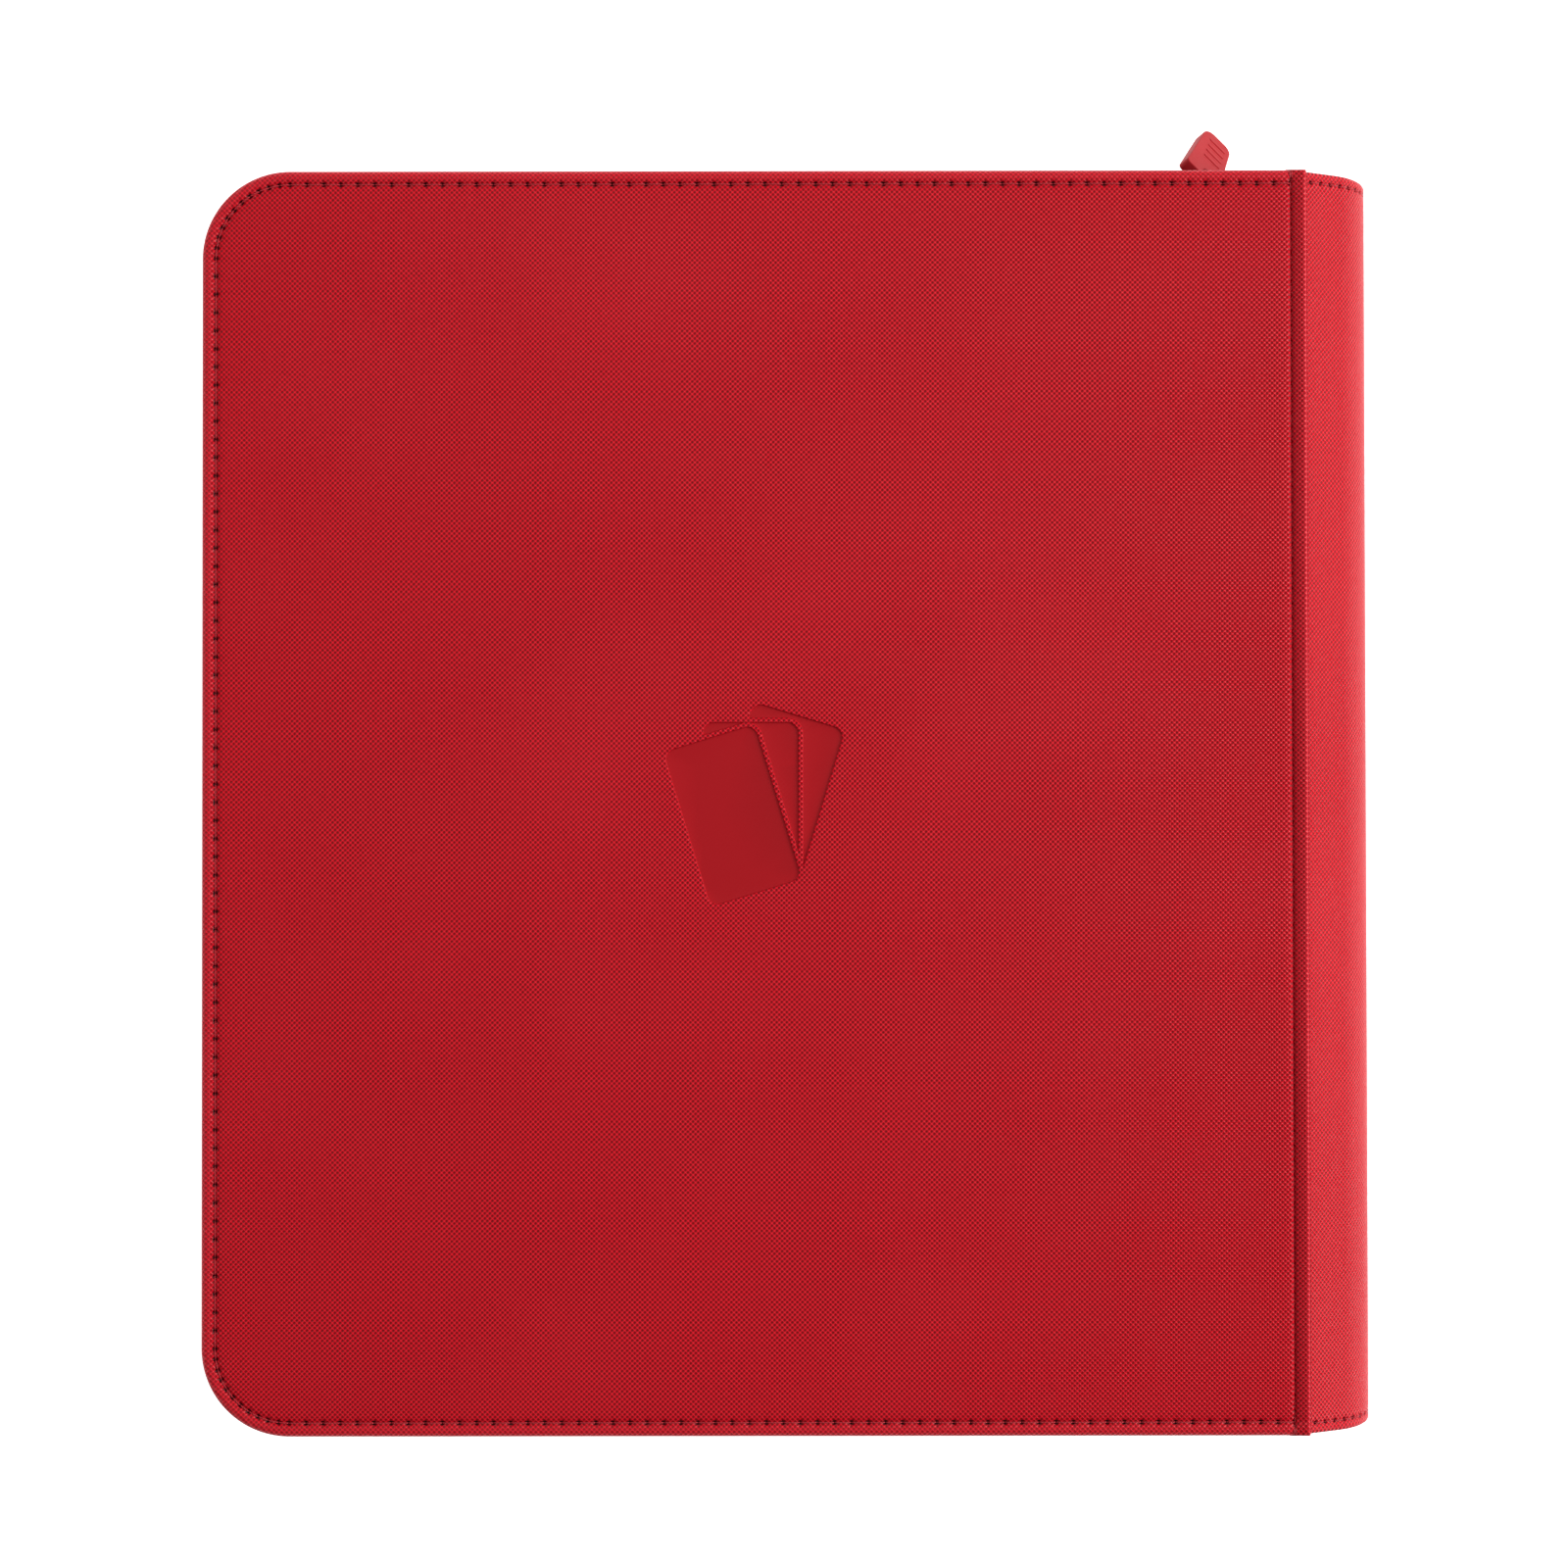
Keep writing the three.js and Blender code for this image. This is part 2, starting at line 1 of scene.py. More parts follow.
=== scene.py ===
import json
import logging
import math
from dataclasses import dataclass, field
from enum import Enum
from typing import Callable, Optional, Sequence, Union

import bmesh
import bpy
import numpy as np
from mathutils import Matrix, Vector
from mathutils.geometry import delaunay_2d_cdt


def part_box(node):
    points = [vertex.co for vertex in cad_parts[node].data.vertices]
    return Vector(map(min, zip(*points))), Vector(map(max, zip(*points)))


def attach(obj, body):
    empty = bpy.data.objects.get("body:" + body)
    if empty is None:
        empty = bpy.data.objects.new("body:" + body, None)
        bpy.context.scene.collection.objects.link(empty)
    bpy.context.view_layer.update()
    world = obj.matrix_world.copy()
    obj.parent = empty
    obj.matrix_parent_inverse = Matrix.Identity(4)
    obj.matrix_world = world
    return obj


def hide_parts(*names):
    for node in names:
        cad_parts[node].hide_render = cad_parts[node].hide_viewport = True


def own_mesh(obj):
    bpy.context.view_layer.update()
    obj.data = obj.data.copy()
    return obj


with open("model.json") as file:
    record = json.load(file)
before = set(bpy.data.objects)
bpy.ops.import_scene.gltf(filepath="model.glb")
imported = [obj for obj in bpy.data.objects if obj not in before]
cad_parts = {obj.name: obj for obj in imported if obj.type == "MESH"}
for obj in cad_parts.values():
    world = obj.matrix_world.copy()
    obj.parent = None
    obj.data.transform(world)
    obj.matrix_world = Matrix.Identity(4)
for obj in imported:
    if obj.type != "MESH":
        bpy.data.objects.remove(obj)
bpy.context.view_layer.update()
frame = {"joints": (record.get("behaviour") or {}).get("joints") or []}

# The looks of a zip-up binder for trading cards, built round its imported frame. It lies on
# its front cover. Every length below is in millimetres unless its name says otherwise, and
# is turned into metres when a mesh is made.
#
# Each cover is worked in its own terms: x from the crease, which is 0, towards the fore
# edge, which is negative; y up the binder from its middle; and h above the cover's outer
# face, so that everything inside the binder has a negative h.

log = logging.getLogger("binder")

MM = 0.001
SHARP_ANGLE = math.radians(42)

Colour = tuple[float, float, float, float]
Number = Union[int, float]


def srgb(red: Number, green: Number, blue: Number) -> Colour:
    """Turn a colour of 0 to 255 as a screen shows it into the linear one that shaders use.

    Args:
        red: The red share.
        green: The green share.
        blue: The blue share.

    Returns:
        The linear colour, opaque.
    """
    shares = [channel / 255 for channel in (red, green, blue)]
    bent = [s / 12.92 if s <= 0.04045 else ((s + 0.055) / 1.055) ** 2.4 for s in shares]
    return (bent[0], bent[1], bent[2], 1.0)


# ------------------------------------------------------------------ shader maths


class Value:
    """A number that varies over a surface: the output socket of a shader node."""

    def __init__(self, shader: "Shader", socket: bpy.types.NodeSocket) -> None:
        """Wrap the socket of one of the shader's nodes."""
        self.shader = shader
        self.socket = socket

    def maths(self, operation: str, *others: Union["Value", Number]) -> "Value":
        """Add a Math node whose first input is this value.

        Args:
            operation: The node's operation.
            others: The values of its other inputs.

        Returns:
            The node's result.
        """
        inputs = dict(enumerate((self, *others)))
        made = self.shader.node("ShaderNodeMath", {"operation": operation}, inputs)
        return Value(self.shader, made.outputs[0])

    def __add__(self, other: Union["Value", Number]) -> "Value":
        """Add."""
        return self.maths("ADD", other)

    def __sub__(self, other: Union["Value", Number]) -> "Value":
        """Subtract."""
        return self.maths("SUBTRACT", other)

    def __rsub__(self, other: Number) -> "Value":
        """Subtract this value from a number."""
        return self.maths("MULTIPLY_ADD", -1.0, other)

    def __mul__(self, other: Union["Value", Number]) -> "Value":
        """Multiply."""
        return self.maths("MULTIPLY", other)

    def __truediv__(self, other: Union["Value", Number]) -> "Value":
        """Divide."""
        return self.maths("DIVIDE", other)

    def __pow__(self, other: Number) -> "Value":
        """Raise to a power."""
        return self.maths("POWER", other)

    def __abs__(self) -> "Value":
        """Drop the sign."""
        return self.maths("ABSOLUTE")

    __radd__ = __add__
    __rmul__ = __mul__

    def sine(self) -> "Value":
        """Take the sine, of radians."""
        return self.maths("SINE")

    def at_least(self, floor: Number) -> "Value":
        """Keep the larger of this value and a number."""
        return self.maths("MAXIMUM", floor)

    def at_most(self, ceiling: Number) -> "Value":
        """Keep the smaller of this value and a number."""
        return self.maths("MINIMUM", ceiling)

    def ridge(self, period: Number) -> "Value":
        """Make rounded ridges of height 1 with a sharp valley at every period."""
        return abs((self * (math.pi / period)).sine())


Input = Union[Value, bpy.types.NodeSocket, Number, Colour, Sequence[float]]


class Shader:
    """One material while its nodes are being made."""

    def __init__(self, name: str) -> None:
        """Start an empty material.

        Args:
            name: The name of the material.
        """
        self.material = bpy.data.materials.new(name)
        self.material.use_nodes = True
        self.tree = self.material.node_tree
        self.tree.nodes.clear()

    def node(
        self,
        kind: str,
        settings: Optional[dict[str, object]] = None,
        inputs: Optional[dict[Union[str, int], Input]] = None,
    ) -> bpy.types.Node:
        """Make a node, with its settings first and then its sockets.

        Args:
            kind: The node's type.
            settings: What it is set to. A ramp's "stops" are (place, colour) pairs.
            inputs: The value or link of each socket, by name or number.

        Returns:
            The node.
        """
        made = self.tree.nodes.new(kind)
        for key, setting in (settings or {}).items():
            if key == "stops":
                elements = made.color_ramp.elements
                while len(elements) < len(setting):
                    elements.new(1.0)
                for element, (place, colour) in zip(elements, setting):
                    element.position, element.color = place, colour
            else:
                setattr(made, key, setting)
        for key, value in (inputs or {}).items():
            source = value.socket if isinstance(value, Value) else value
            if isinstance(source, bpy.types.NodeSocket):
                self.tree.links.new(source, made.inputs[key])
            else:
                made.inputs[key].default_value = source
        return made

    def attribute(self, name: str) -> bpy.types.Node:
        """Read a quantity that the mesh carries at its points."""
        return self.node("ShaderNodeAttribute", {"attribute_name": name})

    def masked(self, name: str) -> Value:
        """Read a single number that the mesh carries at its points."""
        return Value(self, self.attribute(name).outputs["Fac"])

    def lay(self) -> tuple[Value, Value, bpy.types.NodeSocket]:
        """Find the place on the flat cloth, in millimetres.

        Returns:
            The place across, the place along, and both as a vector.
        """
        vector = self.attribute("lay").outputs["Vector"]
        parts = self.node("ShaderNodeSeparateXYZ", None, {0: vector}).outputs
        return Value(self, parts["X"]), Value(self, parts["Y"]), vector

    def noise(self, vector: bpy.types.NodeSocket, scale: float, detail: float = 2.0) -> Value:
        """Make soft noise of 0 to 1.

        Args:
            vector: Where on the surface.
            scale: How many lumps fit in one unit of the vector.
            detail: How many finer layers it has.

        Returns:
            The noise.
        """
        made = self.node(
            "ShaderNodeTexNoise", None, {"Vector": vector, "Scale": scale, "Detail": detail}
        )
        return Value(self, made.outputs[0])

    def mix(self, share: Value, first: Input, second: Input) -> bpy.types.NodeSocket:
        """Mix two colours.

        Args:
            share: How much of the second, from 0 to 1.
            first: The first colour.
            second: The second colour.

        Returns:
            The mixed colour.
        """
        made = self.node("ShaderNodeMix", {"data_type": "RGBA"}, {0: share, 6: first, 7: second})
        return made.outputs[2]

    def bump(self, height: Value, depth: float) -> bpy.types.NodeSocket:
        """Turn a height of 0 to 1 into a normal.

        Args:
            height: The height.
            depth: What a height of 1 stands for, in millimetres.

        Returns:
            The normal.
        """
        made = self.node("ShaderNodeBump", None, {"Distance": depth * MM, "Height": height})
        return made.outputs[0]

    def finish(self, **sockets: Input) -> bpy.types.Material:
        """Close the material with one Principled shader.

        Args:
            sockets: The shader's sockets, with _ for each space in their names.

        Returns:
            The material.
        """
        inputs = {name.replace("_", " "): value for name, value in sockets.items()}
        surface = self.node("ShaderNodeBsdfPrincipled", None, inputs)
        self.node("ShaderNodeOutputMaterial", None, {"Surface": surface.outputs[0]})
        return self.material


# ------------------------------------------------------------------ finishes


@dataclass(frozen=True)
class Finish:
    """What a finish has in common with every other: a name, and a material made once."""

    name: str

    def material(self) -> bpy.types.Material:
        """Give the finish's material, and make it the first time."""
        return bpy.data.materials.get(self.name) or self.make(Shader(self.name))

    def make(self, shader: Shader) -> bpy.types.Material:
        """Make the material.

        Args:
            shader: The empty material to fill.

        Returns:
            The finished material.
        """
        raise NotImplementedError


@dataclass(frozen=True)
class Leatherette(Finish):
    """Coated cloth with a basket weave on the bias, smooth where it is pressed."""

    period: float = 1.38
    relief: float = 0.16
    # valley and crest are a shaded and a lit copy of the red. Mixed by the weave's height, they
    # paint shade into the weave's hollows and light onto its pads.
    valley: Colour = srgb(112, 1, 7)
    crest: Colour = srgb(223, 19, 39)
    # rim is a lighter red. It is the painted highlight on the rolled edges and on the hinge strip's
    # folded edge, and the target of broad, random lighter patches of tone.
    rim: Colour = srgb(238, 62, 74)
    # hole is a near black red for painted shade: in the needle holes, the stitch grooves and the
    # seams, and over the hinge strip.
    hole: Colour = srgb(34, 1, 4)
    pressed: Colour = srgb(161, 16, 25)

    def make(self, shader: Shader) -> bpy.types.Material:
        """Make the material.

        Args:
            shader: The empty material to fill.

        Returns:
            The finished material.
        """
        across, along, place = shader.lay()
        smooth = shader.masked("pressed")
        # shade is the painted light that the mesh carries: a painted highlight above 0, painted
        # shade below 0.
        shade = shader.masked("shade")
        one_way = (across + along).ridge(self.period)
        other_way = (across - along).ridge(self.period)
        uneven = shader.noise(place, 0.55, 1.0)
        hollow = one_way ** 0.8 * other_way ** 1.1
        knot = (1 - one_way) * (1 - other_way)
        weave = (1 - hollow * (uneven * 0.3 + 0.85)) * 0.8 + knot * 0.45
        grain = shader.noise(place, 4.5, 3.0)
        broad = shader.noise(place, 0.012, 3.0)
        # Painted light and shade: darker in the weave's hollows, lighter on its raised pads.
        cloth = shader.mix((weave ** 1.25).at_most(1), self.valley, self.crest)
        # Painted highlight, wherever the mesh's shade is positive.
        cloth = shader.mix(shade.at_least(0).at_most(1), cloth, self.rim)
        cloth = shader.mix((broad - 0.5).at_least(0) * 0.2, cloth, self.rim)
        cloth = shader.mix(smooth, cloth, self.pressed)
        # Painted shade, wherever the mesh's shade is negative.
        cloth = shader.mix((shade * -1).at_least(0).at_most(1), cloth, self.hole)
        height = weave * (1 - smooth) + smooth * (grain * 0.12 + 0.3)
        rough = (1 - weave) * 0.16 + 0.34 + smooth * 0.1
        return shader.finish(
            Base_Color=cloth,
            Roughness=rough,
            Normal=shader.bump(height, self.relief),
            Specular_IOR_Level=0.14,
        )


@dataclass(frozen=True)
class Thread(Finish):
    """Twisted sewing thread. It is laid along its length and round its girth."""

    colour: Colour = srgb(192, 38, 50)
    shadow: Colour = srgb(112, 6, 16)
    twist: float = 0.85

    def make(self, shader: Shader) -> bpy.types.Material:
        """Make the material.

        Args:
            shader: The empty material to fill.

        Returns:
            The finished material.
        """
        along, around, place = shader.lay()
        ply = (along + around * (self.twist / math.pi)).ridge(self.twist)
        fuzz = shader.noise(place, 6.0, 2.0)
        return shader.finish(
            Base_Color=shader.mix(ply * 0.7 + fuzz * 0.3, self.shadow, self.colour),
            Roughness=fuzz * 0.2 + 0.5,
            Normal=shader.bump(ply, 0.08),
            Specular_IOR_Level=0.35,
        )


@dataclass(frozen=True)
class Cloth(Finish):
    """Plain woven cloth, such as a lining or a zip's tape."""

    colour: Colour = srgb(30, 30, 34)
    shadow: Colour = srgb(9, 9, 11)
    thread: float = 0.45
    relief: float = 0.07

    def make(self, shader: Shader) -> bpy.types.Material:
        """Make the material.

        Args:
            shader: The empty material to fill.

        Returns:
            The finished material.
        """
        across, along, place = shader.lay()
        warp = across.ridge(self.thread)
        weft = along.ridge(self.thread)
        weave = (warp * weft) ** 0.6
        wear = shader.noise(place, 0.03, 4.0)
        colour = shader.mix(weave * 0.75 + wear * 0.25, self.shadow, self.colour)
        return shader.finish(
            Base_Color=colour,
            Roughness=wear * 0.12 + 0.74,
            Normal=shader.bump(weave, self.relief),
            Specular_IOR_Level=0.3,
            Sheen_Weight=0.15,
        )


@dataclass(frozen=True)
class Solid(Finish):
    """A moulded, cast or pressed stuff with a fine grain and a slow change of tone."""

    light: Colour = srgb(205, 70, 75)
    dark: Colour = srgb(190, 52, 60)
    roughness: float = 0.5
    spread: float = 0.1
    metal: float = 0.0
    grain: float = 2.2
    relief: float = 0.02
    coat: float = 0.0
    shine: float = 0.5

    def make(self, shader: Shader) -> bpy.types.Material:
        """Make the material.

        Args:
            shader: The empty material to fill.

        Returns:
            The finished material.
        """
        place = shader.lay()[2]
        fine = shader.noise(place, self.grain, 3.0)
        slow = shader.noise(place, self.grain / 25, 2.0)
        return shader.finish(
            Base_Color=shader.mix(fine * 0.4 + slow * 0.6, self.dark, self.light),
            Roughness=(fine - 0.5) * self.spread + self.roughness,
            Metallic=self.metal,
            Normal=shader.bump(fine, self.relief),
            Coat_Weight=self.coat,
            Coat_Roughness=0.2,
            Specular_IOR_Level=self.shine,
        )


@dataclass(frozen=True)
class Film(Finish):
    """Clear plastic film, hazy where it is welded."""

    tint: Colour = srgb(222, 226, 232)

    def make(self, shader: Shader) -> bpy.types.Material:
        """Make the material.

        Args:
            shader: The empty material to fill.

        Returns:
            The finished material.
        """
        place = shader.lay()[2]
        weld = shader.masked("shade")
        ripple = shader.noise(place, 0.05, 2.0)
        return shader.finish(
            Base_Color=self.tint,
            Roughness=weld * 0.3 + 0.14,
            Alpha=weld * 0.25 + 0.16,
            Normal=shader.bump(ripple, 0.5),
            Specular_IOR_Level=0.6,
        )


@dataclass(frozen=True)
class Paper(Finish):
    """The plain pale stuff that the floor is made of."""

    colour: Colour = (0.93, 0.93, 0.93, 1.0)

    def make(self, shader: Shader) -> bpy.types.Material:
        """Make the material.

        Args:
            shader: The empty material to fill.

        Returns:
            The finished material.
        """
        return shader.finish(
            Base_Color=self.colour,
            Roughness=0.9,
            Specular_IOR_Level=0.1,
            Emission_Color=(1.0, 1.0, 1.0, 1.0),
            Emission_Strength=0.75,
        )


LEATHERETTE = Leatherette("red leatherette")
RED_THREAD = Thread("red thread")
BLACK_THREAD = Thread("black thread", srgb(44, 44, 48), srgb(12, 12, 14))
LINING = Cloth("black lining cloth")
TAPE = Cloth("red zip tape", srgb(172, 26, 44), srgb(92, 6, 16), 0.7, 0.12)
NYLON = Solid("red nylon", srgb(186, 34, 52), srgb(158, 18, 34), 0.38, 0.1, 0.0, 3.0, 0.01)
RUBBER = Solid(
    "red rubber", srgb(163, 26, 32), srgb(152, 20, 27), 0.6, 0.12, 0.0, 5.0, 0.025, shine=0.2
)
ZINC = Solid("cast zinc", srgb(176, 177, 180), srgb(138, 139, 143), 0.3, 0.2, 1.0, 1.5, 0.02)
FOAM = Solid("foam", srgb(226, 221, 208), srgb(202, 196, 180), 0.9, 0.1, 0.0, 1.4, 0.3)
BOARD = Solid("grey board", srgb(152, 145, 132), srgb(126, 119, 107), 0.85, 0.1, 0.0, 1.8, 0.05)
PAGE_CORE = Solid("black page", srgb(34, 34, 37), srgb(24, 24, 27), 0.5, 0.1, 0.0, 2.0, 0.03)
FILM = Film("clear film")
FLOOR = Paper("pale floor")


# ------------------------------------------------------------------ meshes


class Surface:
    """Points in millimetres, and the faces between them, that become one piece."""

    def __init__(self) -> None:
        """Start with nothing."""
        self.points: list[np.ndarray] = []
        self.lays: list[np.ndarray] = []
        self.shades: list[np.ndarray] = []
        self.presses: list[np.ndarray] = []
        self.faces: list[Sequence[int]] = []
        self.count = 0

    def add(
        self,
        points: np.ndarray,
        lay: Optional[np.ndarray] = None,
        shade: Optional[np.ndarray] = None,
        pressed: Optional[np.ndarray] = None,
    ) -> np.ndarray:
        """Add points.

        Args:
            points: An array whose last axis is x, y and z.
            lay: Where each lies on the flat cloth. Without it, a point is its own lay.
            shade: How much painted highlight, or painted shade if it is negative, each has, from -1
                to 1. The film's pockets carry their weld mask in it instead.
            pressed: How far each is pressed smooth, from 0 to 1.

        Returns:
            The points' numbers, in the same layout.
        """
        points = np.asarray(points, float)
        layout = points.shape[:-1]
        size = int(np.prod(layout))
        place = points if lay is None else lay
        place = np.broadcast_to(place, (*layout, place.shape[-1])).reshape(size, -1)
        if place.shape[1] == 2:
            place = np.column_stack([place, np.zeros(size)])
        nothing = np.zeros(layout)
        self.points.append(points.reshape(size, 3))
        self.lays.append(place)
        self.shades.append(np.broadcast_to(nothing if shade is None else shade, layout).ravel())
        self.presses.append(
            np.broadcast_to(nothing if pressed is None else pressed, layout).ravel()
        )
        self.count += size
        return np.arange(self.count - size, self.count).reshape(layout)

    def quads(self, ids: np.ndarray, close_rows: bool = False, close_columns: bool = False) -> None:
        """Join a table of point numbers with quads.

        Args:
            ids: The numbers, in rows and columns.
            close_rows: Whether the last row meets the first.
            close_columns: Whether the last column meets the first.
        """
        if close_rows:
            ids = np.concatenate([ids, ids[:1]])
        if close_columns:
            ids = np.concatenate([ids, ids[:, :1]], axis=1)
        corners = (ids[:-1, :-1], ids[1:, :-1], ids[1:, 1:], ids[:-1, 1:])
        self.faces.extend(np.stack(corners, axis=-1).reshape(-1, 4).tolist())

    def shut(self, *loops: np.ndarray) -> None:
        """Close each loop of point numbers with one face."""
        self.faces.extend(loop.tolist() for loop in loops)

    def tube(
        self, path: np.ndarray, out: np.ndarray, radius: Union[float, np.ndarray], sides: int = 6,
        closed: bool = False, flat: float = 1.0,
    ) -> None:
        """Add a round bar along a path.

        Args:
            path: The points that its middle follows.
            out: A direction, or one for each point, that isn't along the path.
            radius: Its radius, or one for each point.
            sides: How many sides it has.
            closed: Whether the path is a loop.
            flat: Its thickness along out, as a share of the other.
        """
        path = np.asarray(path, float)
        if closed:
            ahead = np.roll(path, -1, axis=0) - np.roll(path, 1, axis=0)
        else:
            ahead = np.gradient(path, axis=0)
        ahead /= np.linalg.norm(ahead, axis=1, keepdims=True)
        side = np.cross(ahead, np.broadcast_to(out, path.shape))
        side /= np.linalg.norm(side, axis=1, keepdims=True)
        up = np.cross(side, ahead)
        turn = np.arange(sides) * 2 * math.pi / sides
        radii = np.broadcast_to(radius, len(path))[:, None, None]
        ring = side[:, None] * np.cos(turn)[None, :, None]
        ring = ring + up[:, None] * (flat * np.sin(turn))[None, :, None]
        steps = np.linalg.norm(np.diff(path, axis=0), axis=1)
        run = np.concatenate([[0.0], np.cumsum(steps)])
        lay = np.stack(np.broadcast_arrays(run[:, None], turn[None, :]), axis=-1)
        ids = self.add(path[:, None] + radii * ring, lay)
        self.quads(ids, close_rows=closed, close_columns=True)
        if not closed:
            self.shut(ids[0], ids[-1])

    def piece(
        self, name: str, body: str, finish: Finish, slot: str, replaces: Sequence[str] = ()
    ) -> bpy.types.Object:
        """Make the piece.

        Args:
            name: Its name.
            body: The body that it rides on.
            finish: What it is made of.
            slot: The name of a material slot; it is not used.
            replaces: The nodes that it stands for.

        Returns:
            The piece.
        """
        mesh = bpy.data.meshes.new(name)
        mesh.from_pydata((np.concatenate(self.points) * MM).tolist(), [], self.faces)
        self.carry(mesh, "lay", "FLOAT_VECTOR", "vector", np.concatenate(self.lays))
        self.carry(mesh, "shade", "FLOAT", "value", np.concatenate(self.shades))
        self.carry(mesh, "pressed", "FLOAT", "value", np.concatenate(self.presses))
        work = bmesh.new()
        work.from_mesh(mesh)
        bmesh.ops.remove_doubles(work, verts=work.verts, dist=1e-7)
        bmesh.ops.recalc_face_normals(work, faces=work.faces)
        work.to_mesh(mesh)
        work.free()
        mesh.shade_smooth()
        mesh.set_sharp_from_angle(angle=SHARP_ANGLE)
        mesh.materials.append(finish.material())
        made = bpy.data.objects.new(name, mesh)
        bpy.context.scene.collection.objects.link(made)
        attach(made, body)
        if replaces:
            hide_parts(*replaces)
        log.info("%s: %d faces, on %s", name, len(mesh.polygons), body)
        return made

    @staticmethod
    def carry(mesh: bpy.types.Mesh, name: str, kind: str, part: str, data: np.ndarray) -> None:
        """Store a quantity at a mesh's points.

        Args:
            mesh: The mesh.
            name: The quantity's name.
            kind: The type of attribute.
            part: The name of what an attribute of that type holds.
            data: The quantity at each point.
        """
        attribute = mesh.attributes.new(name, kind, "POINT")
        attribute.data.foreach_set(part, data.astype(np.float32).ravel())


@dataclass(frozen=True)
class Outline:
    """A closed line round a plate, that can be drawn in by any inset.

    Attributes:
        core: For each point, the centre that its round corner turns about.
        normal: For each point, the way out.
        reach: For each point, how far the line is from its core.
    """

    core: np.ndarray
    normal: np.ndarray
    reach: np.ndarray

    @classmethod
    def of_corners(cls, corners: Sequence[tuple[float, float, float]], steps: int = 6) -> "Outline":
        """Make the outline of a rectangle.

        Args:
            corners: x, y and radius of its corners, anticlockwise from the lowest x and y.
            steps: How many steps each corner has.

        Returns:
            The outline.
        """
        cores, normals, reaches = [], [], []
        signs = ((-1, -1), (1, -1), (1, 1), (-1, 1))
        for index, ((x, y, radius), (sx, sy)) in enumerate(zip(corners, signs)):
            turn = math.pi * (1 + index / 2) + np.linspace(0, math.pi / 2, steps + 1)
            normals.append(np.column_stack([np.cos(turn), np.sin(turn)]))
            cores.append(np.tile([x - sx * radius, y - sy * radius], (steps + 1, 1)))
            reaches.append(np.full(steps + 1, radius))
        return cls(np.concatenate(cores), np.concatenate(normals), np.concatenate(reaches))

    @classmethod
    def of_box(
        cls, x: Sequence[float], y: Sequence[float], radius: float, steps: int = 5
    ) -> "Outline":
        """Make the outline of a rectangle whose corners are all alike.

        Args:
            x: Its lowest and highest x.
            y: Its lowest and highest y.
            radius: The corners' radius.
            steps: How many steps each corner has.

        Returns:
            The outline.
        """
        places = ((x[0], y[0]), (x[1], y[0]), (x[1], y[1]), (x[0], y[1]))
        return cls.of_corners([(*place, radius) for place in places], steps)

    def finer(self, step: float) -> "Outline":
        """Give the same outline with its points at most a step apart.

        Args:
            step: The longest distance between two points next to each other.

        Returns:
            The finer outline.
        """
        line = self.at(0.0)
        gaps = np.linalg.norm(np.roll(line, -1, axis=0) - line, axis=1)
        table = np.column_stack([self.core, self.normal, self.reach])
        parts = []
        for start, end, gap in zip(table, np.roll(table, -1, axis=0), gaps):
            count = max(1, math.ceil(gap / step))
            parts.append(start + (end - start) * (np.arange(count) / count)[:, None])
        table = np.concatenate(parts)
        return Outline(table[:, :2], table[:, 2:4], table[:, 4])

    def at(self, inset: Union[float, np.ndarray]) -> np.ndarray:
        """Give the line drawn in by inset, as x and y for each point."""
        return self.core + self.normal * (self.reach - inset)[:, None]


def level(line: np.ndarray, height: Union[float, np.ndarray]) -> np.ndarray:
    """Give x, y and height for each point of a line of x and y."""
    return np.column_stack([line, np.broadcast_to(height, len(line))])


def between(at: np.ndarray, run: np.ndarray, line: np.ndarray) -> np.ndarray:
    """Read a line of two columns at distances along it, where run is that of each point."""
    return np.column_stack([np.interp(at, run, part) for part in line.T])


def slab(
    surface: Surface, outline: Outline, profile: Sequence[tuple[float, float]],
    place: Callable[[np.ndarray], np.ndarray],
) -> None:
    """Add a closed plate with shaped edges.

    Args:
        surface: What it is added to.
        outline: Its outline.
        profile: Inset and height from the middle of one face, over the edge, to the other.
        place: Turns x, y and height into where they are.
    """
    flat = np.stack([level(outline.at(inset), height) for inset, height in profile])
    ids = surface.add(place(flat), flat)
    surface.quads(ids, close_columns=True)
    surface.shut(ids[0], ids[-1])


def rounded_edge(
    low: float, high: float, radius: float, steps: int = 3
) -> list[tuple[float, float]]:
    """Make the profile of a plate with round edges.

    Args:
        low: The height of one face.
        high: The height of the other.
        radius: The radius of the edges, at most half the thickness.
        steps: How many steps each edge has.

    Returns:
        Inset and height, for slab.
    """
    turn = np.linspace(0, math.pi / 2, steps + 1)
    under = [(radius * (1 - math.sin(a)), low + radius * (1 - math.cos(a))) for a in turn]
    over = [(inset, low + high - height) for inset, height in reversed(under)]
    return under + over


def millimetres(corner: Vector) -> np.ndarray:
    """Turn a corner of a box into millimetres."""
    return np.array(corner) / MM


@dataclass(frozen=True)
class Layout:
    """Where the frame's main lines are, in the row frame."""

    fore_x: float
    crease_x: float
    middle_y: float
    half_height: float
    thickness: float
    cover: float

    @classmethod
    def of_frame(cls) -> "Layout":
        """Measure the frame.

        Returns:
            The sizes that the pieces are laid out by.
        """
        low, high = map(millimetres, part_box("back_cover_leather"))
        spine_low = millimetres(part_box("spine_leather")[0])
        half = (high[1] - low[1]) / 2
        return cls(low[0], spine_low[0], low[1] + half, half, high[2], high[2] - low[2])

    @property
    def width(self) -> float:
        """The covers' width, from the fore edge to the crease."""
        return self.crease_x - self.fore_x

    def world(self, points: np.ndarray) -> np.ndarray:
        """Move points from the crease's terms, with z up from the table, to the row frame."""
        return np.asarray(points, float) + [self.crease_x, self.middle_y, 0.0]


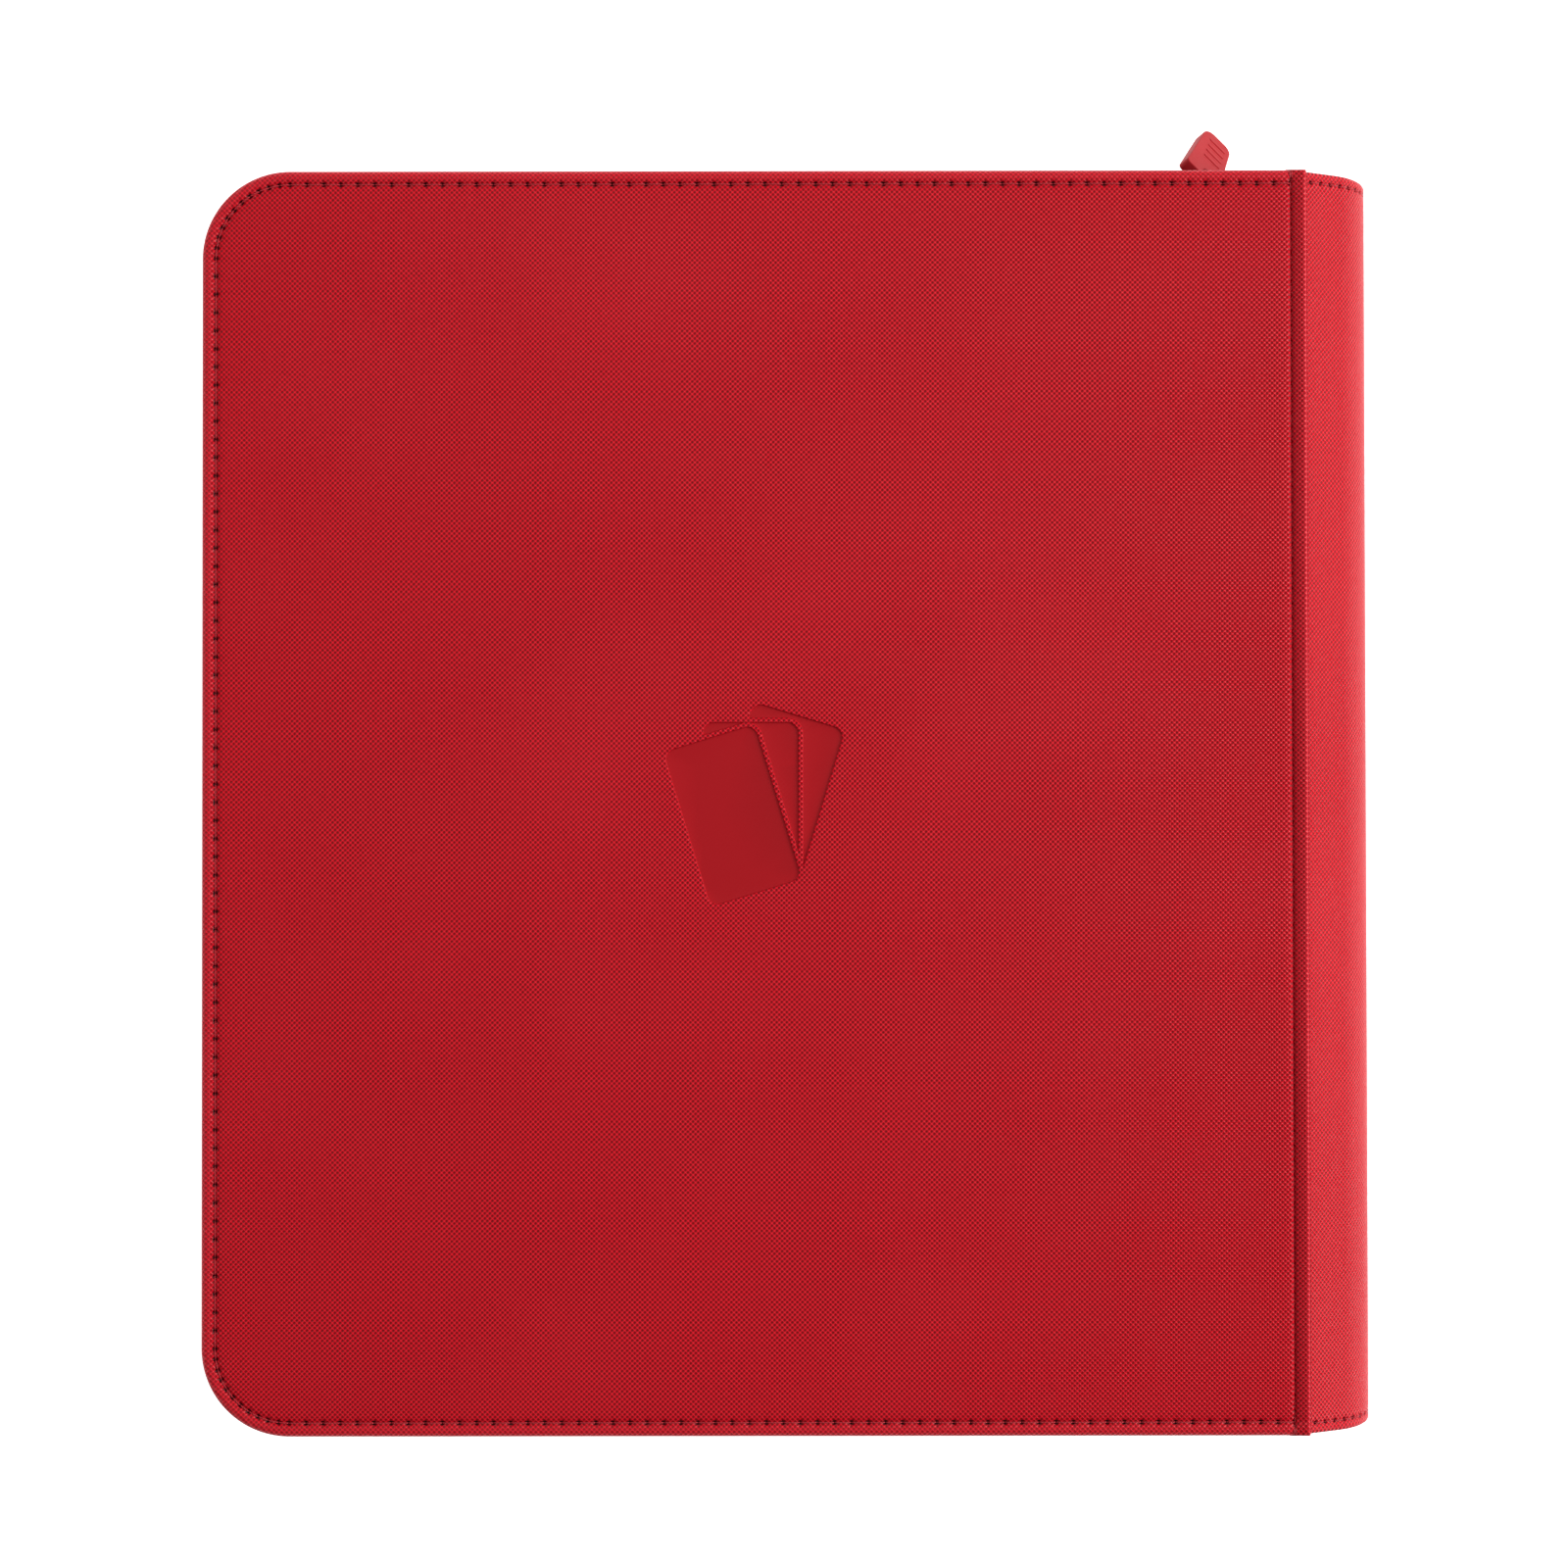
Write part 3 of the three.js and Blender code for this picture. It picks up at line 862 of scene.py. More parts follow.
class Side(Enum):
    """The two covers."""

    FRONT = "front"
    BACK = "back"

    def place(self, layout: Layout) -> Callable[[np.ndarray], np.ndarray]:
        """Give what turns x, y and height above this cover's face into the row frame."""
        base, way = (layout.thickness, 1) if self is Side.BACK else (0.0, -1)
        return lambda points: layout.world(np.asarray(points) * [1, 1, way] + [0, 0, base])

    @property
    def zip_half(self) -> str:
        """The half of the zip that is sewn to this cover."""
        return "upper" if self is Side.BACK else "lower"


@dataclass(frozen=True)
class Rail:
    """The way round a cover's three free sides, from the head to the tail.

    Attributes:
        core: The line that lies one corner radius inside the edge, as x and y.
        normal: The way out of the cover.
        radius: The corner radius.
        run: How far along the line at the given inset each point is.
        holes: How far along that line each needle hole is.
    """

    core: np.ndarray
    normal: np.ndarray
    radius: float
    run: np.ndarray
    holes: np.ndarray

    @classmethod
    def round_cover(
        cls, layout: Layout, radius: float, start: float, inset: float,
        pitches: tuple[float, float, float], offsets: Sequence[float],
    ) -> "Rail":
        """Lay out the way round a cover.

        Args:
            layout: The frame's main lines.
            radius: The corner radius.
            start: How far from the crease it starts and ends.
            inset: How far in from the edge distances are measured.
            pitches: The distance between holes along the head and tail, round the
                corners, and down the fore edge.
            offsets: The points to make about each hole, as distances from it.

        Returns:
            The way round.
        """
        corner_x = radius - layout.width
        corner_y = layout.half_height - radius
        along = (start * -1 - corner_x, 2 * corner_y)
        arc = (radius - inset) * math.pi / 2
        lengths = (along[0], arc, along[1], arc, along[0])
        wanted = (*pitches, pitches[1], pitches[0])
        counts = [round(length / pitch) for length, pitch in zip(lengths, wanted)]
        starts = np.concatenate([[0.0], np.cumsum(lengths)])
        holes = [starts[i] + lengths[i] * np.arange(counts[i]) / counts[i] for i in range(5)]
        holes = np.append(np.concatenate(holes), starts[5])
        gaps = np.diff(holes)
        run = [holes]
        for offset in offsets:
            run.append(holes[:-1][gaps > 2 * offset] + offset)
            run.append(holes[1:][gaps > 2 * offset] - offset)
        run = np.unique(np.round(np.concatenate([*run, (holes[1:] + holes[:-1]) / 2]), 5))
        run = run[(run >= 0) & (run <= starts[5])]
        core, normal = cls.stations(run, starts, corner_x, corner_y, radius - inset, start)
        return cls(core, normal, radius, run, holes)

    @staticmethod
    def stations(
        run: np.ndarray, starts: np.ndarray, corner_x: float, corner_y: float,
        radius: float, start: float,
    ) -> tuple[np.ndarray, np.ndarray]:
        """Find the core line and the way out at distances along the way round.

        Args:
            run: The distances.
            starts: Where each of the five stretches starts and the last one ends.
            corner_x: The x of the corners' centres.
            corner_y: The y of the head corner's centre.
            radius: The radius at which distances are measured round the corners.
            start: How far from the crease it starts.

        Returns:
            The core line and the way out, each as x and y.
        """
        part = np.clip(np.searchsorted(starts, run, side="right") - 1, 0, 4)
        into = run - starts[part]
        x = np.select([part == 0, part == 4], [-start - into, corner_x + into], corner_x)
        y = np.select([part <= 1, part == 2], [corner_y, corner_y - into], -corner_y)
        turn = np.select(
            [part == 0, part == 1, part == 2, part == 3],
            [math.pi / 2, math.pi / 2 + into / radius, math.pi, math.pi + into / radius],
            1.5 * math.pi,
        )
        return np.column_stack([x, y]), np.column_stack([np.cos(turn), np.sin(turn)])

    def line(self, inset: float) -> np.ndarray:
        """Give the line drawn in from the cover's edge, as x and y."""
        return self.core + self.normal * (self.radius - inset)

    def beside_hole(self) -> np.ndarray:
        """Give each point's distance from the nearest needle hole.

        Returns:
            One distance for each point of the line.
        """
        after = np.clip(np.searchsorted(self.holes, self.run), 1, len(self.holes) - 1)
        return np.minimum(
            np.abs(self.run - self.holes[after - 1]), np.abs(self.holes[after] - self.run)
        )


def sweep(
    surface: Surface, rail: Rail, section: Sequence[tuple[float, float]],
    place: Callable[[np.ndarray], np.ndarray],
) -> None:
    """Add a closed bar of one section that follows a rail.

    Args:
        surface: What it is added to.
        rail: The rail.
        section: Its section, as inset from the cover's edge and height.
        place: Turns x, y and height into where they are.
    """
    rows, lays, girth = [], [], 0.0
    for index, (inset, height) in enumerate(section):
        rows.append(level(rail.line(inset), height))
        if index:
            girth += math.dist(section[index - 1], section[index])
        lays.append(np.column_stack([np.full(len(rail.run), girth), rail.run]))
    ids = surface.add(place(np.stack(rows)), np.stack(lays))
    surface.quads(ids, close_rows=True)
    surface.shut(ids[:, 0], ids[:, -1])


# ------------------------------------------------------------------ covers


def card_distance(
    points: np.ndarray, foot: tuple[float, float], turn: float, half: tuple[float, float],
    rise: float, corner: float,
) -> np.ndarray:
    """Give how far points are outside a fanned card's outline.

    Args:
        points: x and y of each point.
        foot: The point that the card is turned about.
        turn: How far it is turned, anticlockwise.
        half: Half its width and half its height.
        rise: How far its middle is above the foot.
        corner: Its corner radius.

    Returns:
        The distances, negative inside.
    """
    x, y = points[:, 0] - foot[0], points[:, 1] - foot[1]
    across = x * math.cos(turn) + y * math.sin(turn)
    up = y * math.cos(turn) - x * math.sin(turn) - rise
    past = np.abs(np.column_stack([across, up])) - np.array(half) + corner
    outside = np.linalg.norm(np.maximum(past, 0), axis=1)
    return outside + np.minimum(past.max(axis=1), 0) - corner


@dataclass(frozen=True)
class CardFan:
    """A fan of three plain cards, pressed into the leatherette."""

    foot: tuple[float, float]
    half: tuple[float, float] = (13.0, 22.0)
    rises: tuple[float, float, float] = (17.0, 19.6, 23.3)
    corner: float = 3.0
    corner_steps: int = 8
    turns: tuple[float, float, float] = (math.radians(17), 0.0, math.radians(-17))
    gap: float = 1.2
    depth: float = 0.42
    edge: tuple[float, ...] = (0.3, 0.12, -0.02, -0.14, -0.26)
    sunk: tuple[float, ...] = (0.0, 0.07, 0.5, 0.93, 1.0)

    def inside(self, points: np.ndarray) -> np.ndarray:
        """Give how far points are outside the pressed shapes, the front card first.

        Args:
            points: x and y of each point.

        Returns:
            The distances, negative inside.
        """
        nearest = np.full(len(points), 1e3)
        front = np.full(len(points), 1e3)
        for turn, rise in zip(self.turns, self.rises):
            card = card_distance(points, self.foot, turn, self.half, rise, self.corner)
            nearest = np.minimum(nearest, np.maximum(card, self.gap - front))
            front = np.minimum(front, card)
        return nearest

    def height(self, points: np.ndarray) -> np.ndarray:
        """Give how high the pressed surface is, at x and y of each point."""
        places = [-edge for edge in self.edge]
        return -self.depth * np.interp(-self.inside(points), places, self.sunk)

    def lines(self) -> list[np.ndarray]:
        """Give the lines that the mesh follows, each a loop of x and y.

        Returns:
            The loops, each an array of x and y.
        """
        loops = []
        for turn, rise in zip(self.turns, self.rises):
            for grown in (0.0, self.gap):
                for edge in self.edge:
                    away = grown + edge if grown == 0.0 else grown - edge
                    loops.append(self.loop(turn, rise, away))
        return loops

    def loop(self, turn: float, rise: float, grow: float) -> np.ndarray:
        """Give the outline of a card with that turn and rise, grown, as x and y.

        Args:
            turn: The card's turn, in radians.
            rise: The card's rise, in millimetres.
            grow: How far the loop lies outside the card's edge.

        Returns:
            x and y of the points of the loop.
        """
        x, y = self.half
        low, high = rise - y, rise + y
        outline = Outline.of_box((-x, x), (low, high), self.corner, self.corner_steps)
        outline = outline.at(-grow)
        edges = np.roll(outline, -1, axis=0) - outline
        parts = [
            outline[i] + edges[i] * t
            for i in range(len(outline))
            for t in (np.arange(4) / 4 if np.linalg.norm(edges[i]) > 4 else (0.0,))
        ]
        flat = np.array(parts)
        cos, sin = math.cos(turn), math.sin(turn)
        return np.column_stack([
            self.foot[0] + flat[:, 0] * cos - flat[:, 1] * sin,
            self.foot[1] + flat[:, 0] * sin + flat[:, 1] * cos,
        ])


@dataclass
class Cover:
    """One cover: leatherette wrapped round padding, a board and a lining, and stitched."""

    side: Side
    layout: Layout
    corner_radius: float = 24.0
    seam_x: float = 4.35
    stitch_inset: float = 3.9
    pitches: tuple[float, float, float] = (4.62, 2.9, 4.95)
    hole_radius: float = 0.64
    hole_depth: float = 0.75
    field_inset: float = 9.0
    skin: float = 1.3
    seam_pitch: float = 4.0
    outer_stitch: tuple[float, float, float] = (-0.95, -0.4, 0.2)
    inner_stitch: tuple[float, float, float] = (-5.2, -5.62, 0.25)
    seam_stitch: tuple[float, float, float] = (-1.2, -0.95, 0.22)
    cross_stitch: tuple[float, float, float] = (-0.8, -0.34, 0.24)
    rim: tuple[tuple[float, float], ...] = (
        (9.0, 0.0), (7.4, -0.02), (6.0, -0.07), (5.2, -0.12), (4.7, -0.2), (4.35, -0.28),
        (4.1, -0.34), (3.9, -0.37), (3.7, -0.34), (3.45, -0.26), (3.1, -0.16), (2.7, -0.07),
        (2.2, -0.01), (1.7, -0.02), (1.2, -0.14), (0.75, -0.4), (0.4, -0.8), (0.15, -1.35),
        (0.02, -2.0), (0.0, -2.75), (0.02, -3.5), (0.15, -4.2), (0.45, -4.85), (0.9, -5.3),
        (1.5, -5.5), (2.6, -5.5), (2.6, -1.3), (9.0, -1.3),
    )
    top_rows: int = 19
    seam_dip: tuple[tuple[float, float], ...] = (
        (0.0, -0.9), (0.15, -0.5), (0.35, -0.24), (0.7, -0.1), (1.4, -0.04), (2.3, -0.01),
        (3.2, 0.0),
    )
    strip: tuple[tuple[float, float], ...] = (
        (-5.5, -5.5), (-5.5, -1.45), (-4.28, -1.45), (-4.22, -0.95), (-4.08, -0.6),
        (-3.75, -0.36), (-3.1, -0.18), (-2.4, -0.08), (-1.7, -0.03), (-1.0, -0.02),
        (-0.55, 0.0), (-0.25, -0.04), (-0.05, -0.18), (-0.05, -0.6), (-0.3, -1.2), (-0.3, -4.7),
        (-0.55, -5.25), (-1.1, -5.5),
    )
    strip_top: range = range(3, 13)
    strip_ends: tuple[float, ...] = (
        0.0, 0.12, 0.4, 0.85, 1.5, 2.3, 3.0, 3.5, 3.9, 4.3, 4.9, 5.8
    )
    strip_tuck: tuple[tuple[float, float], ...] = (
        (0.0, -1.2), (0.12, -0.8), (0.4, -0.4), (0.85, -0.14), (1.5, 0.0), (3.0, -0.05),
        (3.9, -0.2), (4.9, -0.05), (7.0, 0.0),
    )
    tack: tuple[tuple[float, float], ...] = (
        (2.6, -0.75), (2.0, -0.3), (1.2, -0.28), (0.5, -0.75), (0.3, -1.7)
    )
    fan: Optional[CardFan] = field(init=False, default=None)

    def __post_init__(self) -> None:
        """Put the pressed fan on the back cover."""
        if self.side is Side.BACK:
            self.fan = CardFan((-self.layout.width / 2 - 1.1, -20.0))

    @property
    def body(self) -> str:
        """The body that the cover is."""
        return f"{self.side.value}_cover"

    def build(self) -> None:
        """Make every layer of the cover."""
        rail = Rail.round_cover(
            self.layout, self.corner_radius, self.seam_x, self.stitch_inset, self.pitches,
            (0.22, 0.45, 0.8),
        )
        self.make_skin(rail)
        self.make_threads(rail)
        self.make_hinge_strip()
        self.make_layers()

    def seam_height(self, points: np.ndarray) -> np.ndarray:
        """Give how far the skin dips towards the seam, where the stitches pull it in.

        Args:
            points: x and y of each point.

        Returns:
            The heights.
        """
        pull = 1 + 0.3 * np.cos(points[..., 1] * 2 * math.pi / self.seam_pitch)
        away = (-points[..., 0] - self.seam_x) / pull
        places, dips = zip(*self.seam_dip)
        return np.interp(away, places, dips)

    def make_skin(self, rail: Rail) -> None:
        """Make the leatherette, with its rolled and stitched border.

        Args:
            rail: The way round the cover, with points close together at the needle holes.
        """
        place = self.side.place(self.layout)
        surface = Surface()
        beside = rail.beside_hole()
        rows, lays, shades, length = [], [], [], 0.0
        for index, (inset, height) in enumerate(self.rim):
            line = rail.line(inset)
            heights = np.full(len(line), height)
            shade = np.full(len(line), 0.0)
            if index < self.top_rows:
                heights += self.seam_height(line) * min(max(inset - 0.4, 0.0), 1.0)
                away = np.hypot(beside, inset - self.stitch_inset) / self.hole_radius
                heights -= self.hole_depth * np.exp(-(away ** 2))
                groove = math.exp(-(((inset - self.stitch_inset) / 0.45) ** 2))
                # Painted light: a painted highlight on the rolled border, and painted shade in the
                # stitch groove, in the needle holes and where the skin dips into the seam.
                shade += np.interp(inset, (0.0, 0.6, 2.6, 3.3), (0.14, 0.2, 0.12, 0.0))
                shade -= 0.2 * groove + 1.3 * np.exp(-((away * 0.95) ** 4))
                shade -= 0.35 * np.clip(-self.seam_height(line) - 0.25, 0, 1)
            if index:
                length += math.dist(self.rim[index - 1], self.rim[index])
            rows.append(level(line, heights))
            lays.append(rail.line(self.field_inset - length))
            shades.append(shade)
        ids = surface.add(place(np.stack(rows)), np.stack(lays), np.stack(shades))
        surface.quads(ids)
        surface.shut(ids[:, 0], ids[:, -1])
        self.fill_field(surface, rail.line(self.field_inset), place)
        surface.piece(
            f"{self.side.value}_cover_skin", self.body, LEATHERETTE, "leatherette",
            [f"{self.side.value}_cover_leather"],
        )

    def fill_field(
        self, surface: Surface, border: np.ndarray, place: Callable[[np.ndarray], np.ndarray]
    ) -> None:
        """Fill the skin inside its border, down to the seam, and close it underneath.

        Args:
            surface: What it is added to.
            border: The border's inner line, from the seam at the head to the tail.
            place: Turns x, y and height into where they are.
        """
        end = border[0][1]
        steps = round(2 * end / (self.seam_pitch / 4))
        seam_y = np.linspace(-end, end, steps + 1)[1:-1]
        seam = np.column_stack([np.full(len(seam_y), -self.seam_x), seam_y])
        loop = np.concatenate([border, seam])
        points, edges = list(loop), []
        inner_y = np.linspace(-end + 0.6, end - 0.6, steps + 1)
        for away, _ in self.seam_dip[1:]:
            start = len(points)
            points.extend(np.column_stack([np.full(len(inner_y), -self.seam_x - away), inner_y]))
            edges.extend((start + i, start + i + 1) for i in range(len(inner_y) - 1))
        for line in self.fan.lines() if self.fan else ():
            start, size = len(points), len(line)
            points.extend(line)
            edges.extend((start + i, start + (i + 1) % size) for i in range(size))
        fore = 12 - self.layout.width
        for x in np.arange(fore + 6, -16, 18.0):
            points.extend([x, y] for y in np.arange(12 - end, end - 6, 18.0))
        made = delaunay_2d_cdt(
            [Vector(point) for point in points], edges, [list(range(len(loop)))], 1, 1e-6
        )
        flat = np.array([tuple(point) for point in made[0]])
        heights = self.seam_height(flat)
        pressed = np.zeros(len(flat))
        # Painted shade where the skin dips into the seam.
        shade = -0.35 * np.clip(-heights - 0.25, 0, 1)
        if self.fan:
            pressing = self.fan.height(flat)
            heights = heights + pressing
            pressed = np.clip(-pressing / self.fan.depth * 1.3 - 0.2, 0, 1)
        ids = surface.add(place(level(flat, heights)), flat, shade, pressed)
        surface.faces.extend(ids[list(face)].tolist() for face in made[2])
        top = surface.add(place(level(loop, self.seam_height(loop))), loop)
        under = surface.add(place(level(loop, -self.skin)), loop)
        surface.shut(under)
        wall = np.concatenate([[len(border) - 1], np.arange(len(border), len(loop)), [0]])
        surface.quads(np.stack([top[wall], under[wall]]))

    def make_threads(self, rail: Rail) -> None:
        """Make the stitches round the cover, on its face and on its lining.

        Args:
            rail: The way round the cover.
        """
        place = self.side.place(self.layout)
        line = rail.line(self.stitch_inset)
        at = np.searchsorted(rail.run, rail.holes - 1e-4)
        holes = line[np.clip(at, 0, len(line) - 1)]
        outside, inside = Surface(), Surface()
        stitches(outside, holes, *self.outer_stitch, place)
        stitches(inside, holes, *self.inner_stitch, place)
        name = f"{self.side.value}_cover_stitches"
        outside.piece(name, self.body, RED_THREAD, "leatherette")
        inside.piece(f"{self.side.value}_lining_stitches", self.body, BLACK_THREAD, "lining")

    def make_hinge_strip(self) -> None:
        """Make the puffed strip along the crease, with its folded edge, and its seam."""
        half = self.layout.half_height
        steps = round(2 * half / (self.seam_pitch / 4))
        ends = np.array(self.strip_ends)
        places, heights = zip(*self.strip_tuck)
        inner = np.linspace(places[-1] - half, half - places[-1], steps)
        y = np.concatenate([ends - half, inner, half - ends[::-1]])
        tuck = np.interp(half - np.abs(y), places, heights)
        flush = np.interp(half - np.abs(y), (0.0, 2.2, 4.5), (1.0, 0.85, 0.0))
        pull = np.cos(y * 2 * math.pi / self.seam_pitch)
        rows, lays, shades, length = [], [], [], 0.0
        for index, (x, height) in enumerate(self.strip):
            if index:
                length += math.dist(self.strip[index - 1], self.strip[index])
            top = index in self.strip_top
            sag = 0.08 * math.exp(-(((x + 3.2) / 1.1) ** 2)) if top else 0.0
            level = height * (1 - flush) if x < -1 else height
            heights = (level + tuck if top else height) - sag * (0.5 + 0.5 * pull)
            if not top and height > -1.3:
                heights = np.minimum(heights, height + tuck)
            if height < -5:
                heights = heights + np.minimum(-tuck, 0.5) * (tuck < -0.36)
            rows.append(np.column_stack([np.full(len(y), x), y, np.minimum(heights, 0.0)]))
            lays.append(np.column_stack([np.full(len(y), length - 8.2), y]))
            # dark paints shade over the whole strip, deepest beside its seam. The bright line
            # beside the crease is a painted highlight.
            dark = -0.3 * math.exp(-(((x + 4.15) / 0.35) ** 2)) - 0.15
            painted_highlight = 0.8 * math.exp(-(((x + 0.4) / 0.3) ** 2))
            shades.append(np.full(len(y), dark + painted_highlight if top else 0.0))
        surface = Surface()
        place = self.side.place(self.layout)
        ids = surface.add(place(np.stack(rows)), np.stack(lays), np.stack(shades))
        surface.quads(ids, close_rows=True)
        surface.shut(ids[:, 0], ids[:, -1])
        name = f"{self.side.value}_hinge_strip"
        surface.piece(name + "_cloth", self.body, LEATHERETTE, "leatherette", [name])
        seam = Surface()
        count = round(2 * (half - 3) / self.seam_pitch)
        seam_y = np.linspace(3 - half, half - 3, count + 1)
        points = np.column_stack([np.full(len(seam_y), -4.26), seam_y])
        stitches(seam, points, *self.seam_stitch, place)
        for end in (half - 2.9, 2.9 - half):
            across = np.array([[-4.4, end], [-0.55, end]])
            stitches(seam, across, *self.cross_stitch, place)
        self.bar_tacks(seam, place)
        seam.piece(f"{self.side.value}_seam_stitches", self.body, RED_THREAD, "leatherette")

    def bar_tacks(self, surface: Surface, place: Callable[[np.ndarray], np.ndarray]) -> None:
        """Add the few turns of thread that lock the seam's ends over the cover's edge.

        Args:
            surface: What they are added to.
            place: Turns x, y and height into where they are.
        """
        half = self.layout.half_height
        inset, height = np.array(self.tack).T
        for way in (1, -1):
            for x in (-4.55, -4.05):
                path = np.column_stack([np.full(len(inset), x), way * (half - inset), height])
                surface.tube(place(path), np.array([1.0, 0.0, 0.0]), 0.27)

    def make_layers(self) -> None:
        """Make the padding, the board and the lining inside the skin."""
        place = self.side.place(self.layout)
        half = self.layout.half_height
        name = self.side.value
        for part, inset, crease, low, high, edge, finish, slot in (
            ("padding", 2.9, 5.8, -2.5, -1.4, 0.4, FOAM, "foam"),
            ("board", 2.9, 5.8, -4.4, -2.8, 0.3, BOARD, "board"),
            ("lining", 2.8, 5.65, -5.5, -4.7, 0.25, LINING, "lining"),
        ):
            fore, top = inset - self.layout.width, half - inset
            round_corner = self.corner_radius - inset
            outline = Outline.of_corners(
                [(fore, -top, round_corner), (-crease, -top, 0.6), (-crease, top, 0.6),
                 (fore, top, round_corner)], 14,
            )
            surface = Surface()
            slab(surface, outline, rounded_edge(low, high, edge), place)
            node = f"{name}_cover_{part}"
            made = surface.piece(f"{node}_layer", self.body, finish, slot, [node])
            part == "padding"
            if part == "lining":
                size = (-crease - fore, 2 * top)
                cut = size[0] * size[1] - (2 - math.pi / 2) * round_corner ** 2
                size[0] * MM
                size[1] * MM
                cut * MM * MM


def stitches(
    surface: Surface, holes: np.ndarray, low: float, high: float, radius: float,
    place: Callable[[np.ndarray], np.ndarray],
) -> None:
    """Add a row of stitches, one from each needle hole to the next.

    Args:
        surface: What they are added to.
        holes: x and y of the needle holes, in order.
        low: The height at which the thread goes into a hole.
        high: The height of the middle of a stitch.
        radius: The thread's radius.
        place: Turns x, y and height into where they are.
    """
    share = np.array([0.03, 0.09, 0.2, 0.5, 0.8, 0.91, 0.97])
    rise = np.array([0.0, 0.62, 0.94, 1.0, 0.94, 0.62, 0.0])
    for start, end in zip(holes[:-1], holes[1:]):
        line = start + (end - start) * share[:, None]
        path = place(np.column_stack([line, low + (high - low) * rise]))
        up = place(np.array([[*start, 1.0]])) - place(np.array([[*start, 0.0]]))
        surface.tube(path, up[0], radius, 6, flat=0.85)


# ------------------------------------------------------------------ spine


